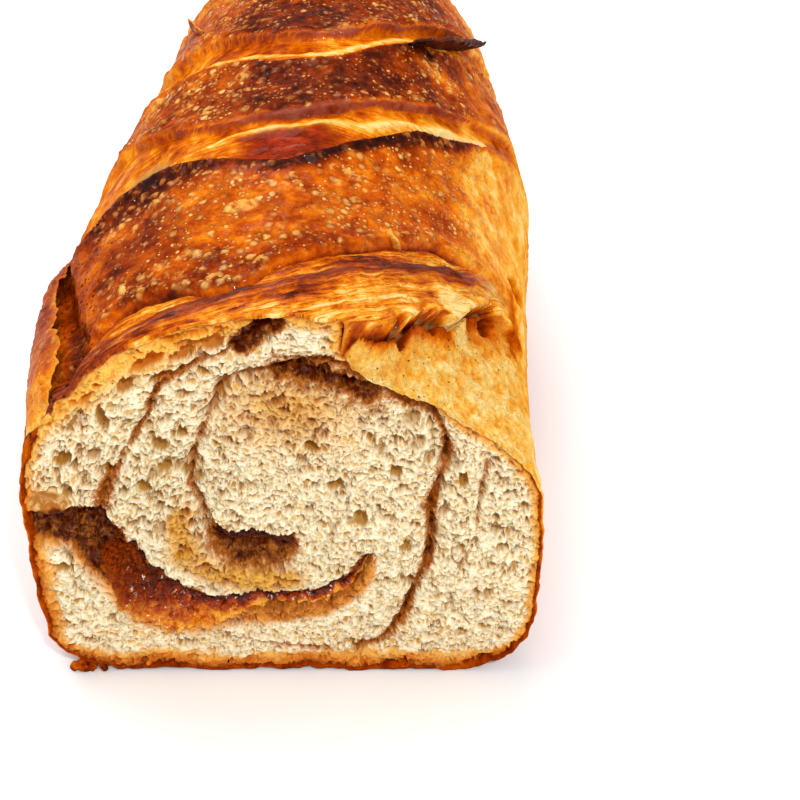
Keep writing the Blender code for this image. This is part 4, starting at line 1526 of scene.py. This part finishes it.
def filling_material():
    """Wet cinnamon filling: dark on its inner side, amber and see-through on its outer."""
    n = Nodes("cinnamon_syrup")
    broad = n.cloud(2.6, 4.0, 0.65, 0.6)
    place_in = n.plus(broad, 1.5, n.field("across"))
    swirled = n.cloud(5.0, 3.0, 0.6, 2.0)
    place_in = n.plus(swirled, 1.2, place_in)
    place_in = n.maths("ADD", place_in, n.ease(n.field("run"), 0.44, 0.30, 0.0, 0.34), clamp=True)
    colour = n.ramp(place_in, ((0.00, (244, 170, 48)), (0.18, (226, 126, 14)), (0.38, (192, 78, 0)),
                               (0.60, (144, 43, 0)), (0.80, (95, 21, 0)), (0.97, (53, 11, 0))))
    powder = n.ease(n.plus(broad, 0.3, n.field("run")), 0.46, 0.24)
    dusty = n.mix(n.ease(n.noise(0.8, 4.0, 0.7), 0.35, 0.65), srgb(74, 18, 0), srgb(156, 62, 6))
    colour = n.mix(n.times(powder, 0.9), colour, dusty)
    speck = n.dots(0.9, 0.26, 0.3)
    colour = n.mix(n.times(speck, 0.6), colour, srgb(60, 16, 6))
    glint = n.times(n.ease(n.noise(0.9, 1.0, 0.5, 1.0), 0.66, 0.70),
                    n.ease(n.field("run"), 0.26, 0.36))
    glint = n.times(glint, n.ease(n.noise(4.0, 2.0), 0.44, 0.54))
    colour = n.mix(n.times(glint, 0.85), colour, srgb(255, 236, 206))
    grains = n.dots(0.75, 0.42, 0.5)
    height = n.plus(grains, 0.8, n.noise(0.9, 4.0, 0.6))
    normal = n.bump(height, 0.9, 0.5)
    rough = n.plus(powder, 0.35, 0.18)
    return n.finish(Base_Color=colour, Roughness=rough, Normal=normal, Specular_IOR_Level=0.0,
                    Subsurface_Weight=0.15, Subsurface_Radius=(1.6, 0.5, 0.1), Subsurface_Scale=MM,
                    Coat_Weight=n.plus(powder, -0.4, 0.45), Coat_Roughness=0.06)


# ---------------------------------------------------------------- floor, lights and camera

def make_floor():
    """A plain pale floor."""
    mesh = bpy.data.meshes.new("floor")
    corners = [(x * FLOOR_REACH, y * FLOOR_REACH, dough_low[2])
               for x, y in ((-1, -1), (1, -1), (1, 1), (-1, 1))]
    mesh.from_pydata(corners, [], [(0, 1, 2, 3)])
    n = Nodes("pale_floor")
    tint = n.mix(n.noise(60.0, 2.0), srgb(252, 252, 252), srgb(255, 255, 255))
    mesh.materials.append(n.finish(Base_Color=tint, Roughness=0.9, Specular_IOR_Level=0.2))
    floor = bpy.data.objects.new("floor", mesh)
    bpy.context.scene.collection.objects.link(floor)


def area_light(name, place_at, aim, size, power):
    """A soft square light that points at a place."""
    light = bpy.data.lights.new(name, "AREA")
    light.shape = "SQUARE"
    light.size = size
    light.energy = power
    lamp = bpy.data.objects.new(name, light)
    lamp.location = place_at
    way = Vector(aim) - Vector(place_at)
    lamp.rotation_euler = way.to_track_quat("-Z", "Y").to_euler()
    bpy.context.scene.collection.objects.link(lamp)


def make_lights():
    """Bright soft light from all round, with a key above and a smaller light in front."""
    world = bpy.data.worlds.new("studio")
    bpy.context.scene.world = world
    world.use_nodes = True
    background = world.node_tree.nodes["Background"]
    background.inputs["Color"].default_value = (1.0, 1.0, 1.0, 1.0)
    background.inputs["Strength"].default_value = WORLD_STRENGTH
    for name, settings in LIGHTS.items():
        area_light(name, *settings)


def make_camera():
    """The camera, fitted to the photographed loaf."""
    data = bpy.data.cameras.new("camera")
    data.lens = CAMERA_LENS
    data.sensor_width = SENSOR_WIDTH
    camera = bpy.data.objects.new("camera", data)
    camera.location = ((CAMERA_X + SHIFT[0]) * MM, dough_low[1] - CAMERA_BACK * MM,
                       dough_low[2] + CAMERA_HEIGHT * MM)
    camera.rotation_euler = (math.pi / 2.0 - CAMERA_PITCH, 0.0, 0.0)
    bpy.context.scene.collection.objects.link(camera)
    bpy.context.scene.camera = camera


def main():
    """Build the loaf's looks, then the stage round it."""
    bpy.context.scene.view_settings.view_transform = "Standard"
    rim = rim_outline()
    crust = crust_material()
    make_crust(crust)
    make_leaves(crust)
    make_crumbs(crust)
    make_face(rim, crumb_material(), filling_material())
    make_floor()
    make_lights()
    make_camera()


main()
